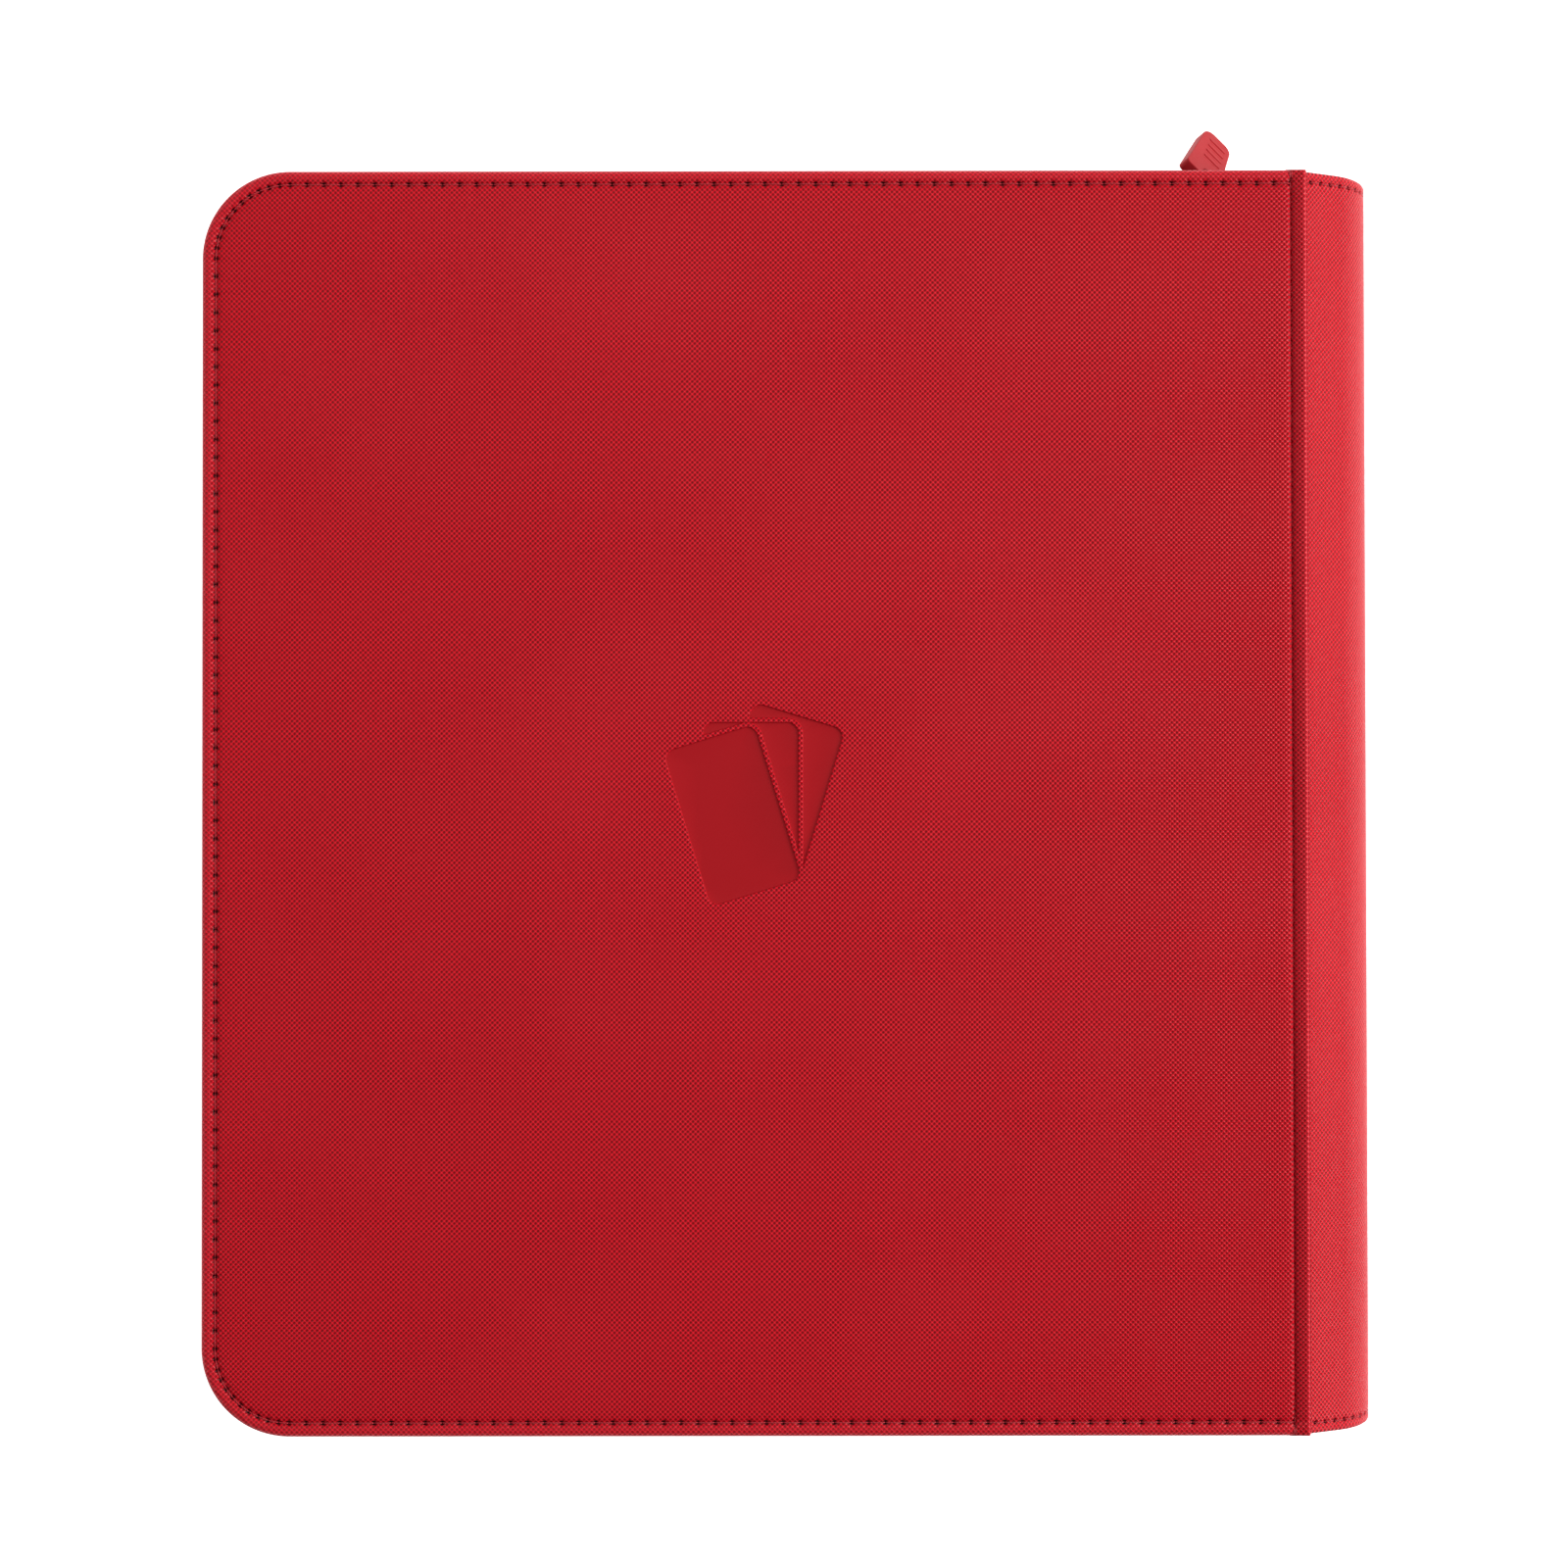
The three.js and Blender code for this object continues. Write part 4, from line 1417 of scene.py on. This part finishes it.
@dataclass
class Spine:
    """The round padded spine."""

    layout: Layout
    height: float = 343.8
    slope: float = math.radians(33)
    slope_run: float = 10.5
    pitch: float = 3.5
    stitch_inset: float = 3.0
    skin: float = 1.2
    corner: float = 0.7
    hole_radius: float = 0.5
    keep: float = 0.06
    flat_x: float = -1.25
    pad_x: float = 3.4
    rim: tuple[tuple[float, float, float], ...] = (
        (0.55, -2.2, 1.0), (0.55, -2.2, 0.66), (0.55, -2.2, 0.33), (0.55, -2.2, 0.02),
        (0.5, -2.2, 0.0),
        (0.1, -1.8, 0.0), (0.0, -1.3, 0.0), (0.1, -0.8, 0.0), (0.35, -0.42, 0.0),
        (0.75, -0.14, 0.0), (1.2, -0.02, 0.0), (1.7, -0.02, 0.0), (2.15, -0.06, 0.0),
        (2.5, -0.12, 0.0), (2.78, -0.17, 0.0), (3.0, -0.19, 0.0), (3.22, -0.17, 0.0),
        (3.5, -0.12, 0.0), (3.9, -0.06, 0.0), (4.5, -0.03, 0.0), (5.6, -0.01, 0.0),
        (8.0, 0.0, 0.0), (60.0, 0.0, 0.0),
    )
    holes: np.ndarray = field(init=False, repr=False)

    def build(self) -> None:
        """Make every layer of the spine and what is sewn to it."""
        self.make_skin()
        self.make_padding()
        self.make_panels()
        self.make_binding_strip()
        self.make_gussets()

    def section(self) -> tuple[np.ndarray, np.ndarray, np.ndarray]:
        """Work out the section from the upper crease to the lower one.

        Returns:
            Points as x and z, the ways out, and the distances along it.
        """
        half = self.layout.thickness / 2
        radius = (half - self.slope_run * math.tan(self.slope)) / math.cos(self.slope)
        centre = self.slope_run - radius * math.sin(self.slope)
        x = np.linspace(0, self.slope_run, 60)
        ease = 0.14 * np.exp(-x / 1.4)
        slope = np.column_stack([x, half - x * math.tan(self.slope) - ease])
        turn = np.linspace(math.pi / 2 - self.slope, 0, 80)[1:]
        arc = np.column_stack([centre + radius * np.cos(turn), radius * np.sin(turn)])
        upper = np.concatenate([slope, arc])
        lower = upper[-2::-1] * [1, -1]
        line = np.concatenate([upper, lower])
        run = np.concatenate([[0.0], np.cumsum(np.linalg.norm(np.diff(line, axis=0), axis=1))])
        count = round(run[-1] / self.pitch)
        holes = (np.arange(count) + 0.5) * run[-1] / count
        marks = np.concatenate([holes + o for o in (-0.75, -0.42, -0.2, 0, 0.2, 0.42, 0.75)])
        marks = np.unique(np.round(np.concatenate([marks, [0, 0.25, run[-1] - 0.25, run[-1]],
                                                   (holes[1:] + holes[:-1]) / 2]), 5))
        marks = marks[(marks >= 0) & (marks <= run[-1])]
        points = between(marks, run, line)
        ahead = np.gradient(line, axis=0)
        ahead /= np.linalg.norm(ahead, axis=1, keepdims=True)
        out = between(marks, run, np.column_stack([-ahead[:, 1], ahead[:, 0]]))
        self.holes = holes
        return points + [0, half], out, marks

    def shaped(
        self, points: np.ndarray, out: np.ndarray, height: Union[float, np.ndarray],
        shrink: float, y: np.ndarray,
    ) -> np.ndarray:
        """Place one row of the spine, in the row frame.

        Args:
            points: The section, as x and z.
            out: The ways out.
            height: How far out of the section the row is.
            shrink: How far it is drawn towards the crease, from 0 to 1.
            y: The y of each of the row's points.

        Returns:
            The points.
        """
        moved = points + out * np.broadcast_to(height, len(points))[:, None]
        x = np.maximum(moved[:, 0] * (1 - shrink), 0.03)
        return self.layout.world(np.column_stack([x, y, moved[:, 1]]))

    def make_skin(self) -> None:
        """Make the leatherette, with its rolled and stitched ends, and their stitches."""
        points, out, run = self.section()
        beside = np.abs(run[:, None] - self.holes[None, :]).min(axis=1)
        half = self.height / 2
        corner = self.corner * np.clip((points[:, 0] - 8.0) / 11.0, 0, 1) ** 2
        outer, inner, lays, shades = [], [], [], []
        rows = [(way, row) for way in (-1, 1) for row in (self.rim if way < 0 else self.rim[::-1])]
        for way, (inset, height, shrink) in rows:
            tuck = corner * (1 - shrink) * np.interp(inset, (0.0, 2.5, 8.0), (1.0, 0.9, 0.0))
            y = way * (half - inset - tuck)
            away = np.hypot(beside, inset - self.stitch_inset) / self.hole_radius
            near = inset > 0.8 and shrink == 0
            dip = 0.6 * np.exp(-(away ** 2)) if near else 0.0
            row = self.shaped(points, out, height - dip, shrink, y)
            outer.append(row)
            inner_y = way * (half - max(inset, 1.75) - tuck)
            inner.append(self.shaped(points, out, height - self.skin, shrink, inner_y))
            lays.append(row[:, [0, 2]] if shrink else np.column_stack([run, y + way * height]))
            shade = np.zeros(len(run))
            if near:
                # Painted light at the spine's rolled ends: a faint painted highlight on the roll,
                # and painted shade along the stitch line and in the needle holes.
                shade += np.interp(inset, (0.8, 1.7, 2.4), (0.06, 0.04, 0.0))
                shade -= 0.08 * math.exp(-(((inset - self.stitch_inset) / 0.4) ** 2))
                shade -= 1.2 * np.exp(-((away * 0.9) ** 4))
            shades.append(shade)
        surface = Surface()
        top = surface.add(np.stack(outer), np.stack(lays), np.stack(shades))
        under = surface.add(np.stack(inner), np.stack(lays))
        surface.quads(top)
        surface.quads(under)
        for edge in (np.s_[:, 0], np.s_[:, -1], np.s_[0, :], np.s_[-1, :]):
            surface.quads(np.stack([top[edge], under[edge]]))
        skin = surface.piece(
            "spine_skin", "spine", LEATHERETTE, "leatherette", ["spine_leather"]
        )
        threads = Surface()
        for way in (-1, 1):
            y = way * (half - self.stitch_inset)
            near_end = np.interp(self.holes, run, corner) * 0.87
            for start, end, drawn in zip(self.holes[:-1], self.holes[1:], near_end):
                share = start + (end - start) * np.array([0.05, 0.14, 0.3, 0.5, 0.7, 0.86, 0.95])
                path, up = between(share, run, points), between(share, run, out)
                rise = np.array([-0.75, -0.4, -0.2, -0.16, -0.2, -0.4, -0.75])
                path = path + up * rise[:, None]
                path = level(path, y - way * drawn)[:, [0, 2, 1]]
                up = level(up, 0.0)[:, [0, 2, 1]]
                threads.tube(self.layout.world(path), up, 0.2, 6, flat=0.85)
        stitched = threads.piece("spine_stitches", "spine", RED_THREAD, "leatherette")
        self.flatten(skin, stitched)

    def flatten(self, *pieces: bpy.types.Object) -> None:
        """Give each piece a mesh of its own.

        Args:
            pieces: The pieces.
        """
        anchor = ((self.layout.crease_x + self.flat_x) * MM, 0.0, 0.0)
        for piece in pieces:
            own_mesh(piece)

    def make_padding(self) -> None:
        """Make the foam that fills the spine's round back."""
        points, out, _ = self.section()
        body = points - out * (self.skin + 0.2)
        body = body[body[:, 0] > self.pad_x + 0.4][::6]
        centre = np.array([self.pad_x + 5, self.layout.thickness / 2])
        half = self.height / 2 - 4.2
        surface = Surface()
        rows = []
        for inset, shrink in ((0.0, 0.9), (0.5, 0.97), (1.6, 1.0), (60.0, 1.0)):
            rows.append((inset - half, shrink))
        rows += [(-y, shrink) for y, shrink in reversed(rows)]
        made = [
            level(centre + (body - centre) * share, y)[:, [0, 2, 1]] for y, share in rows
        ]
        ids = surface.add(self.layout.world(np.stack(made)), np.stack(made))
        surface.quads(ids, close_columns=True)
        surface.shut(ids[0], ids[-1])
        pad = surface.piece("spine_foam", "spine", FOAM, "foam", ["spine_padding"])
        self.flatten(pad)

    def make_panels(self) -> None:
        """Make the spine's board and its lining."""
        half = self.height / 2 - 3.2
        for node, x0, x1, width, edge, finish, slot in (
            ("spine_board", 1.2, 3.1, 36.0, 0.35, BOARD, "board"),
            ("spine_lining", 0.3, 0.9, 38.0, 0.2, LINING, "lining"),
        ):
            outline = Outline.of_box((-half, half), (-width / 2, width / 2), 1.2)
            surface = Surface()
            slab(surface, outline, rounded_edge(x0, x1, edge), lambda points: self.layout.world(
                points[..., [2, 0, 1]] + [0, 0, self.layout.thickness / 2]))
            made = surface.piece(f"{node}_panel", "spine", finish, slot, [node])
            self.flatten(made)
            if node == "spine_lining":
                width * MM
                2 * half * MM

    def make_binding_strip(self) -> None:
        """Make the cloth-covered ridge that the pages are sewn to, and its stitches."""
        low, high = map(millimetres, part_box("binding_strip"))
        edge_x = low[0] + 4.95
        ridge = 0.95
        middle = (low[2] + high[2]) / 2
        section = np.array([
            (high[0] - 0.1, low[2] + 0.3), (high[0] - 0.4, low[2]), (edge_x + 0.5, low[2]),
            (edge_x, low[2] + 0.5), (edge_x, low[2] + 1.0), (low[0] + 0.15, middle - ridge),
            (low[0], middle - ridge + 0.3), (low[0], middle + ridge - 0.3),
            (low[0] + 0.15, middle + ridge), (edge_x, high[2] - 1.0), (edge_x, high[2] - 0.5),
            (edge_x + 0.5, high[2]), (high[0] - 0.4, high[2]), (high[0] - 0.1, high[2] - 0.3),
        ])
        centre = section.mean(axis=0)
        girth = np.cumsum(np.linalg.norm(np.roll(section, 1, axis=0) - section, axis=1))
        rows, lays = [], []
        for y, shrink in (
            (low[1], 0.9), (low[1] + 0.25, 0.97), (low[1] + 0.8, 1.0),
            (high[1] - 0.8, 1.0), (high[1] - 0.25, 0.97), (high[1], 0.9),
        ):
            ring = centre + (section - centre) * shrink
            rows.append(level(ring, y)[:, [0, 2, 1]])
            lays.append(np.column_stack([girth, np.full(len(ring), y)]))
        surface = Surface()
        ids = surface.add(np.stack(rows), np.stack(lays))
        surface.quads(ids, close_columns=True)
        surface.shut(ids[0], ids[-1])
        surface.piece("binding_ridge", "spine", LINING, "lining", ["binding_strip"])
        threads = Surface()
        y = np.linspace(low[1] + 4, high[1] - 4, round((high[1] - low[1] - 8) / 4.0) + 1)
        for z, way in ((low[2], -1.0), (high[2], 1.0)):
            holes = np.column_stack([np.full(len(y), edge_x + 2.2), y])
            stitches(
                threads, holes, -0.3, 0.08, 0.22,
                lambda points, z=z, way=way: np.asarray(points) * [1, 1, way] + [0, 0, z],
            )
        threads.piece("binding_stitches", "spine", BLACK_THREAD, "lining")

    def make_gussets(self) -> None:
        """Make the two pleated cloths between the zip's ends and the spine."""
        for end, way in (("head", 1), ("tail", -1)):
            low, high = map(millimetres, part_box(f"{end}_gusset"))
            y = (low[1] + high[1]) / 2
            x = np.linspace(low[0] - 1.0, high[0] + 0.2, 19)
            z = np.array([low[2] - 1.0, low[2] - 0.6, low[2] + 0.4, *np.linspace(
                low[2] + 2.5, high[2] - 2.5, 9), high[2] - 0.4, high[2] + 0.6, high[2] + 1.0])
            across, up = np.meshgrid(x, z)
            share = (across - x[0]) / (x[-1] - x[0])
            fold = np.sin(share * math.pi) * np.sin((up - z[0]) / (z[-1] - z[0]) * math.pi)
            edge = np.minimum(np.minimum(up - z[0], z[-1] - up), 1.2) / 1.2
            faces = []
            for skin in (0.32, -0.32):
                thick = skin * np.sqrt(np.clip(edge * (2 - edge), 0.1, 1))
                bent = y - way * (fold * 1.7) + thick
                faces.append(np.stack([across, bent, up], axis=-1))
            surface = Surface()
            lay = np.stack([across, up], axis=-1)
            front, back = surface.add(faces[0], lay), surface.add(faces[1], lay)
            surface.quads(front)
            surface.quads(back)
            for side in (np.s_[:, 0], np.s_[:, -1], np.s_[0, :], np.s_[-1, :]):
                surface.quads(np.stack([front[side], back[side]]))
            made = surface.piece(
                f"{end}_gusset_cloth", "spine", TAPE, "zip_tape", [f"{end}_gusset"]
            )
            self.flatten(made)


# ------------------------------------------------------------------ zip


@dataclass
class Zip:
    """The zip: two tapes, two nylon coils, three stops, the slider and its pull."""

    layout: Layout
    corner_radius: float = 24.0
    inset: float = 6.5
    tape_start: float = 18.0
    coil_start: float = 21.5
    coil_pitch: float = 1.5
    coil_points: int = 10
    coil_wire: float = 0.31
    coil_half: tuple[float, float] = (0.88, 1.24)
    coil_height: float = -20.45
    slider_half: tuple[float, float] = (6.0, 4.3)
    plate: tuple[float, float] = (1.55, 2.55)
    ring_radius: float = 3.4
    ring_wire: float = 0.6
    droop: float = math.radians(48)
    roll: float = math.radians(23)
    grip_half: float = 1.85
    grip_edge: float = 0.3
    grip: tuple[tuple[float, float, float], ...] = (
        (-7.3, 1.7, 1.2), (5.4, 1.7, 2.0), (4.65, 24.0, 2.6), (-5.6, 24.0, 3.6)
    )
    eye: tuple[float, float] = (0.0, 4.0)
    eye_radius: float = 1.5
    rib_half: tuple[float, float] = (3.1, 0.5)
    rib_faces: tuple[tuple[float, float], ...] = ((1.7, 2.02), (-2.02, -1.7))
    rib_y: tuple[float, ...] = (11.2, 14.2, 17.2, 20.2)

    def build(self) -> None:
        """Make the whole zip."""
        for side in Side:
            self.make_tape(side)
            self.make_coil(side)
        self.make_stops()
        self.make_slider()
        self.make_ring()
        self.make_grip()

    def make_tape(self, side: Side) -> None:
        """Make one tape, folded up from the cover on its inner edge.

        Args:
            side: The cover that it is sewn to.
        """
        rail = Rail.round_cover(
            self.layout, self.corner_radius, self.tape_start, self.inset, (9.0, 1.9, 9.0), ()
        )
        section = (
            (6.16, -5.8), (6.84, -5.8), (6.84, -11.0), (6.84, -17.9), (6.95, -18.2),
            (6.8, -18.6), (6.2, -18.6), (6.05, -18.2), (6.16, -17.9), (6.16, -11.0),
        )
        surface = Surface()
        sweep(surface, rail, section, side.place(self.layout))
        node = f"{side.zip_half}_zip_tape"
        body = f"{side.value}_cover"
        made = surface.piece(node + "_cloth", body, TAPE, "zip_tape", [node])

    def make_coil(self, side: Side) -> None:
        """Make one nylon coil, wound along the edge of its tape.

        Args:
            side: The cover whose tape it is sewn to.
        """
        way = Rail.round_cover(
            self.layout, self.corner_radius, self.coil_start, self.inset, (3.0, 3.0, 3.0), ()
        )
        turns = round(way.run[-1] / self.coil_pitch)
        share = np.linspace(0, 1, turns * self.coil_points + 1)
        angle = share * turns * 2 * math.pi
        run = share * way.run[-1]
        core, normal = (between(run, way.run, line) for line in (way.core, way.normal))
        normal /= np.linalg.norm(normal, axis=1, keepdims=True)
        wide, tall = self.coil_half
        out = wide * np.sign(np.cos(angle)) * np.abs(np.cos(angle)) ** 0.8
        rise = tall * np.sign(np.sin(angle)) * np.abs(np.sin(angle)) ** 0.8
        path = np.column_stack([
            core + normal * (self.corner_radius - self.inset + out)[:, None],
            self.coil_height + rise,
        ])
        up = np.column_stack([normal * np.cos(angle)[:, None], np.sin(angle)])
        place = side.place(self.layout)
        surface = Surface()
        surface.tube(place(path), place(path + up) - place(path), self.coil_wire, 5)
        node = f"{side.zip_half}_zip_coil"
        surface.piece(node + "_wire", f"{side.value}_cover", NYLON, "zip_coil", [node])

    def make_stops(self) -> None:
        """Make the clamped stops at the ends of the coils."""
        for node, body in (
            ("lower_top_stop", "front_cover"),
            ("upper_top_stop", "back_cover"),
            ("zip_bottom_stop", "front_cover"),
        ):
            low, high = map(millimetres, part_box(node))
            surface = Surface()
            outline = Outline.of_box((low[0], high[0]), (low[1], high[1]), 0.75)
            slab(surface, outline, rounded_edge(low[2], high[2], 0.4), lambda points: points)
            surface.piece(f"{node}_clamp", body, ZINC, "zip_metal", [node])

    def make_slider(self) -> None:
        """Make the slider: two plates, the web between them, and the crown."""
        low, high = map(millimetres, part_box("zip_slider"))
        centre = np.array([(low[0] + high[0]) / 2, low[1] + self.plate[1], (low[2] + high[2]) / 2])

        def place(points: np.ndarray) -> np.ndarray:
            """Stand a flat shape on edge, facing the head."""
            return np.asarray(points)[..., [0, 2, 1]] + centre

        surface = Surface()
        long, tall = self.slider_half
        for start, end in (self.plate, (-self.plate[1], -self.plate[0])):
            outline = Outline.of_box((-long, long), (-tall, tall), 2.4, 8)
            slab(surface, outline, rounded_edge(start, end, 0.35, 4), place)
        web = Outline.of_box((0.0, 5.0), (-0.3, 0.3), 0.2)
        slab(surface, web, rounded_edge(-2.0, 2.0, 0.05), place)
        turn = np.linspace(0, math.pi, 15)
        arch = np.column_stack([
            -2.65 * np.sign(np.cos(turn)) * np.abs(np.cos(turn)) ** 0.5, np.zeros(15),
            2.2 + 2.8 * np.sin(turn) ** 0.5,
        ])
        surface.tube(place(arch), np.array([0.0, 0.0, 1.0]), 0.55, 10, flat=1.45)
        surface.piece("slider_casting", "zip_slider", ZINC, "zip_metal", ["zip_slider"])

    def joint(self, name: str) -> dict[str, object]:
        """Find a joint of the frame by its name."""
        return next(row for row in frame["joints"] if row["name"] == name)

    def make_ring(self) -> None:
        """Make the ring in the slider's crown."""
        joint = self.joint("grip_lift")
        centre, axis = np.array(joint["pos_m"]) / MM, np.array(joint["axis"])
        side = np.cross(axis, [0, 0, 1])
        turn = np.linspace(0, 2 * math.pi, 48, endpoint=False)[:, None]
        way = np.cos(turn) * side + np.array([0, 0, 1]) * np.sin(turn)
        path = centre + self.ring_radius * way
        surface = Surface()
        surface.tube(path, axis, self.ring_wire, 12, closed=True)
        surface.piece("pull_ring_wire", "pull_ring", ZINC, "zip_metal", ["pull_ring"])

    def make_grip(self) -> None:
        """Make the rubber grip that hangs on the ring."""
        joint = self.joint("grip_lift")
        centre, axis = np.array(joint["pos_m"]) / MM, np.array(joint["axis"])
        up = np.array([0.0, 0.0, 1.0])
        heading = np.cross(up, axis)
        along = math.cos(self.droop) * heading - math.sin(self.droop) * up
        face = math.sin(self.droop) * heading + math.cos(self.droop) * up
        across = math.cos(self.roll) * axis - math.sin(self.roll) * face
        out = math.sin(self.roll) * axis + math.cos(self.roll) * face
        turned = np.stack([across, along, out])

        def place(points: np.ndarray) -> np.ndarray:
            """Hang a shape drawn flat, with its length along y, on the ring."""
            return np.asarray(points) @ turned + centre

        surface = Surface()
        body = Outline.of_corners(self.grip, 8).finer(2.0)
        way = body.at(0.0) - self.eye
        way /= np.linalg.norm(way, axis=1, keepdims=True)
        face, radius = self.grip_half, self.eye_radius
        wall = ((radius + 0.4, -face), (radius + 0.2, -face), (radius, 0.2 - face),
                (radius, face - 0.2), (radius + 0.2, face), (radius + 0.4, face))
        rows = [level(self.eye + way * size, z) for size, z in wall]
        edge = [(0.55, -face), *rounded_edge(-face, face, self.grip_edge, 4), (0.55, face)]
        rows += [level(body.at(inset), z) for inset, z in reversed(edge)]
        ids = surface.add(place(np.stack(rows)), np.stack(rows))
        surface.quads(ids, close_rows=True, close_columns=True)
        wide, tall = self.rib_half
        for y in self.rib_y:
            for low, high in self.rib_faces:
                rib = Outline.of_box((-wide, wide), (y - tall, y + tall), 0.49, 4)
                slab(surface, rib, rounded_edge(low, high, 0.15), place)
        surface.piece("pull_grip_rubber", "pull_grip", RUBBER, "pull_rubber", ["pull_grip"])


# ------------------------------------------------------------------ pages


@dataclass
class Pages:
    """Twenty pages, each a black core sheet with clear pockets welded to both faces."""

    count: int = 20
    core: float = 0.11
    film_low: float = 0.14
    film_high: float = 0.29
    corner: float = 12.0
    columns: int = 4
    rows: int = 3
    border: float = 3.9
    root_border: float = 9.0
    weld: float = 1.2
    swell: float = 2.6

    def build(self) -> None:
        """Make all the pages."""
        for number in range(1, self.count + 1):
            self.make_page(number)

    def steps(self, low: float, high: float, pockets: int) -> tuple[np.ndarray, np.ndarray]:
        """Find where the film rises and falls across a run of pockets.

        Args:
            low: Where the run starts.
            high: Where it ends.
            pockets: How many pockets there are.

        Returns:
            The places, and how full the pocket is at each, from 0 at a weld to 1.
        """
        size = (high - low) / pockets
        half = self.weld / 2
        rise = ((0.0, 0.0), (half, 0.0), (half + self.swell * 0.4, 0.7), (half + self.swell, 1.0))
        marks = []
        for pocket in range(pockets):
            start = low + pocket * size
            marks += [(start + away, full) for away, full in rise]
            marks += [(start + size - away, full) for away, full in rise[:0:-1]]
        marks.append((high, 0.0))
        places, full = zip(*marks)
        return np.array(places), np.array(full)

    def make_page(self, number: int) -> None:
        """Make one page.

        Args:
            number: Its number, from the front cover.
        """
        node = f"page_{number:02d}"
        low, high = map(millimetres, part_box(node))
        middle = (low[2] + high[2]) / 2
        root = 0.5
        outline = Outline.of_corners(
            [(low[0], low[1], self.corner), (high[0], low[1], root), (high[0], high[1], root),
             (low[0], high[1], self.corner)], 8,
        )
        core = Surface()
        slab(core, outline, rounded_edge(middle - self.core, middle + self.core, 0.08, 2),
             lambda points: points)
        core.piece(f"{node}_sheet", node, PAGE_CORE, "page_film", [node])
        xs, full_x = self.steps(low[0] + self.border, high[0] - self.root_border, self.columns)
        ys, full_y = self.steps(low[1] + self.border, high[1] - self.border, self.rows)
        x, y = np.meshgrid(xs, ys)
        full = np.minimum(*np.meshgrid(full_x, full_y))
        film = Surface()
        for way in (1, -1):
            height = self.film_low + 0.02 + (self.film_high - self.film_low - 0.02) * full
            top = film.add(np.stack([x, y, middle + way * height], axis=-1), None, 1 - full)
            base = film.add(
                np.stack([x, y, np.full(x.shape, middle + way * self.film_low)], axis=-1)
            )
            film.quads(top)
            loop = np.s_[0, :], np.s_[:, -1], np.s_[-1, :], np.s_[:, 0]
            for side in loop:
                film.quads(np.stack([top[side], base[side]]))
            film.shut(np.concatenate([
                base[0, :-1], base[:-1, -1], base[-1, :0:-1], base[:0:-1, 0]
            ]))
        film.piece(f"{node}_pockets", node, FILM, "page_film")


# ------------------------------------------------------------------ studio


@dataclass(frozen=True)
class Lamp:
    """One large soft square lamp, aimed at the middle of the floor. Lengths are in metres."""

    name: str
    at: tuple[float, float, float]
    power: float
    size: float = 0.9

    def hang(self) -> None:
        """Add the lamp to the scene."""
        lamp = bpy.data.lights.new(self.name, "AREA")
        lamp.energy, lamp.size = self.power, self.size
        holder = bpy.data.objects.new(self.name, lamp)
        holder.location = self.at
        holder.rotation_euler = (-Vector(self.at)).to_track_quat("-Z", "Y").to_euler()
        bpy.context.scene.collection.objects.link(holder)


@dataclass
class Studio:
    """The pale floor, the soft lights and the camera."""

    camera_at: tuple[float, float, float] = (-0.5, -18.28, 999.7)
    camera_turn: tuple[float, float, float] = (0.878, 0.063, -0.081)
    lens: float = 80.56
    world: float = 0.2
    floor_reach: float = 12000.0
    floor_z: float = -0.03
    lamps: tuple[Lamp, ...] = (
        Lamp("right_lamp", (1.75, 0.1, 0.85), 44.0),
        Lamp("left_lamp", (-1.2, 0.4, 1.5), 13.0),
        Lamp("head_lamp", (0.3, 1.7, 1.1), 11.0),
    )

    def build(self) -> None:
        """Set up everything that isn't part of the binder."""
        self.make_floor()
        self.make_lights()
        self.make_camera()

    def make_floor(self) -> None:
        """Make the floor."""
        mesh = bpy.data.meshes.new("floor")
        reach, z = self.floor_reach * MM, self.floor_z * MM
        corners = [(-reach, -reach, z), (reach, -reach, z), (reach, reach, z), (-reach, reach, z)]
        mesh.from_pydata(corners, [], [(0, 1, 2, 3)])
        mesh.materials.append(FLOOR.material())
        floor = bpy.data.objects.new("floor", mesh)
        bpy.context.scene.collection.objects.link(floor)

    def make_lights(self) -> None:
        """Make the even sky and the large soft lamps."""
        scene = bpy.context.scene
        world = bpy.data.worlds.new("studio")
        world.use_nodes = True
        background = world.node_tree.nodes["Background"]
        background.inputs["Color"].default_value = (1.0, 1.0, 1.0, 1.0)
        background.inputs["Strength"].default_value = self.world
        scene.world = world
        for lamp in self.lamps:
            lamp.hang()

    def make_camera(self) -> None:
        """Make the camera, high above the binder."""
        scene = bpy.context.scene
        lens = bpy.data.cameras.new("camera")
        lens.lens, lens.sensor_width = self.lens, 36.0
        lens.clip_start, lens.clip_end = 0.01, 20.0
        camera = bpy.data.objects.new("camera", lens)
        camera.location = [value * MM for value in self.camera_at]
        camera.rotation_euler = [math.radians(turn) for turn in self.camera_turn]
        scene.collection.objects.link(camera)
        scene.camera = camera
        scene.view_settings.view_transform = "Standard"
        scene.view_settings.look = "None"


def main() -> None:
    """Build the binder and the studio."""
    logging.basicConfig(level=logging.INFO, format="%(name)s: %(message)s")
    layout = Layout.of_frame()
    Studio().build()
    for side in Side:
        Cover(side, layout).build()
    Spine(layout).build()
    Zip(layout).build()
    Pages().build()


if __name__ == "__main__":
    main()
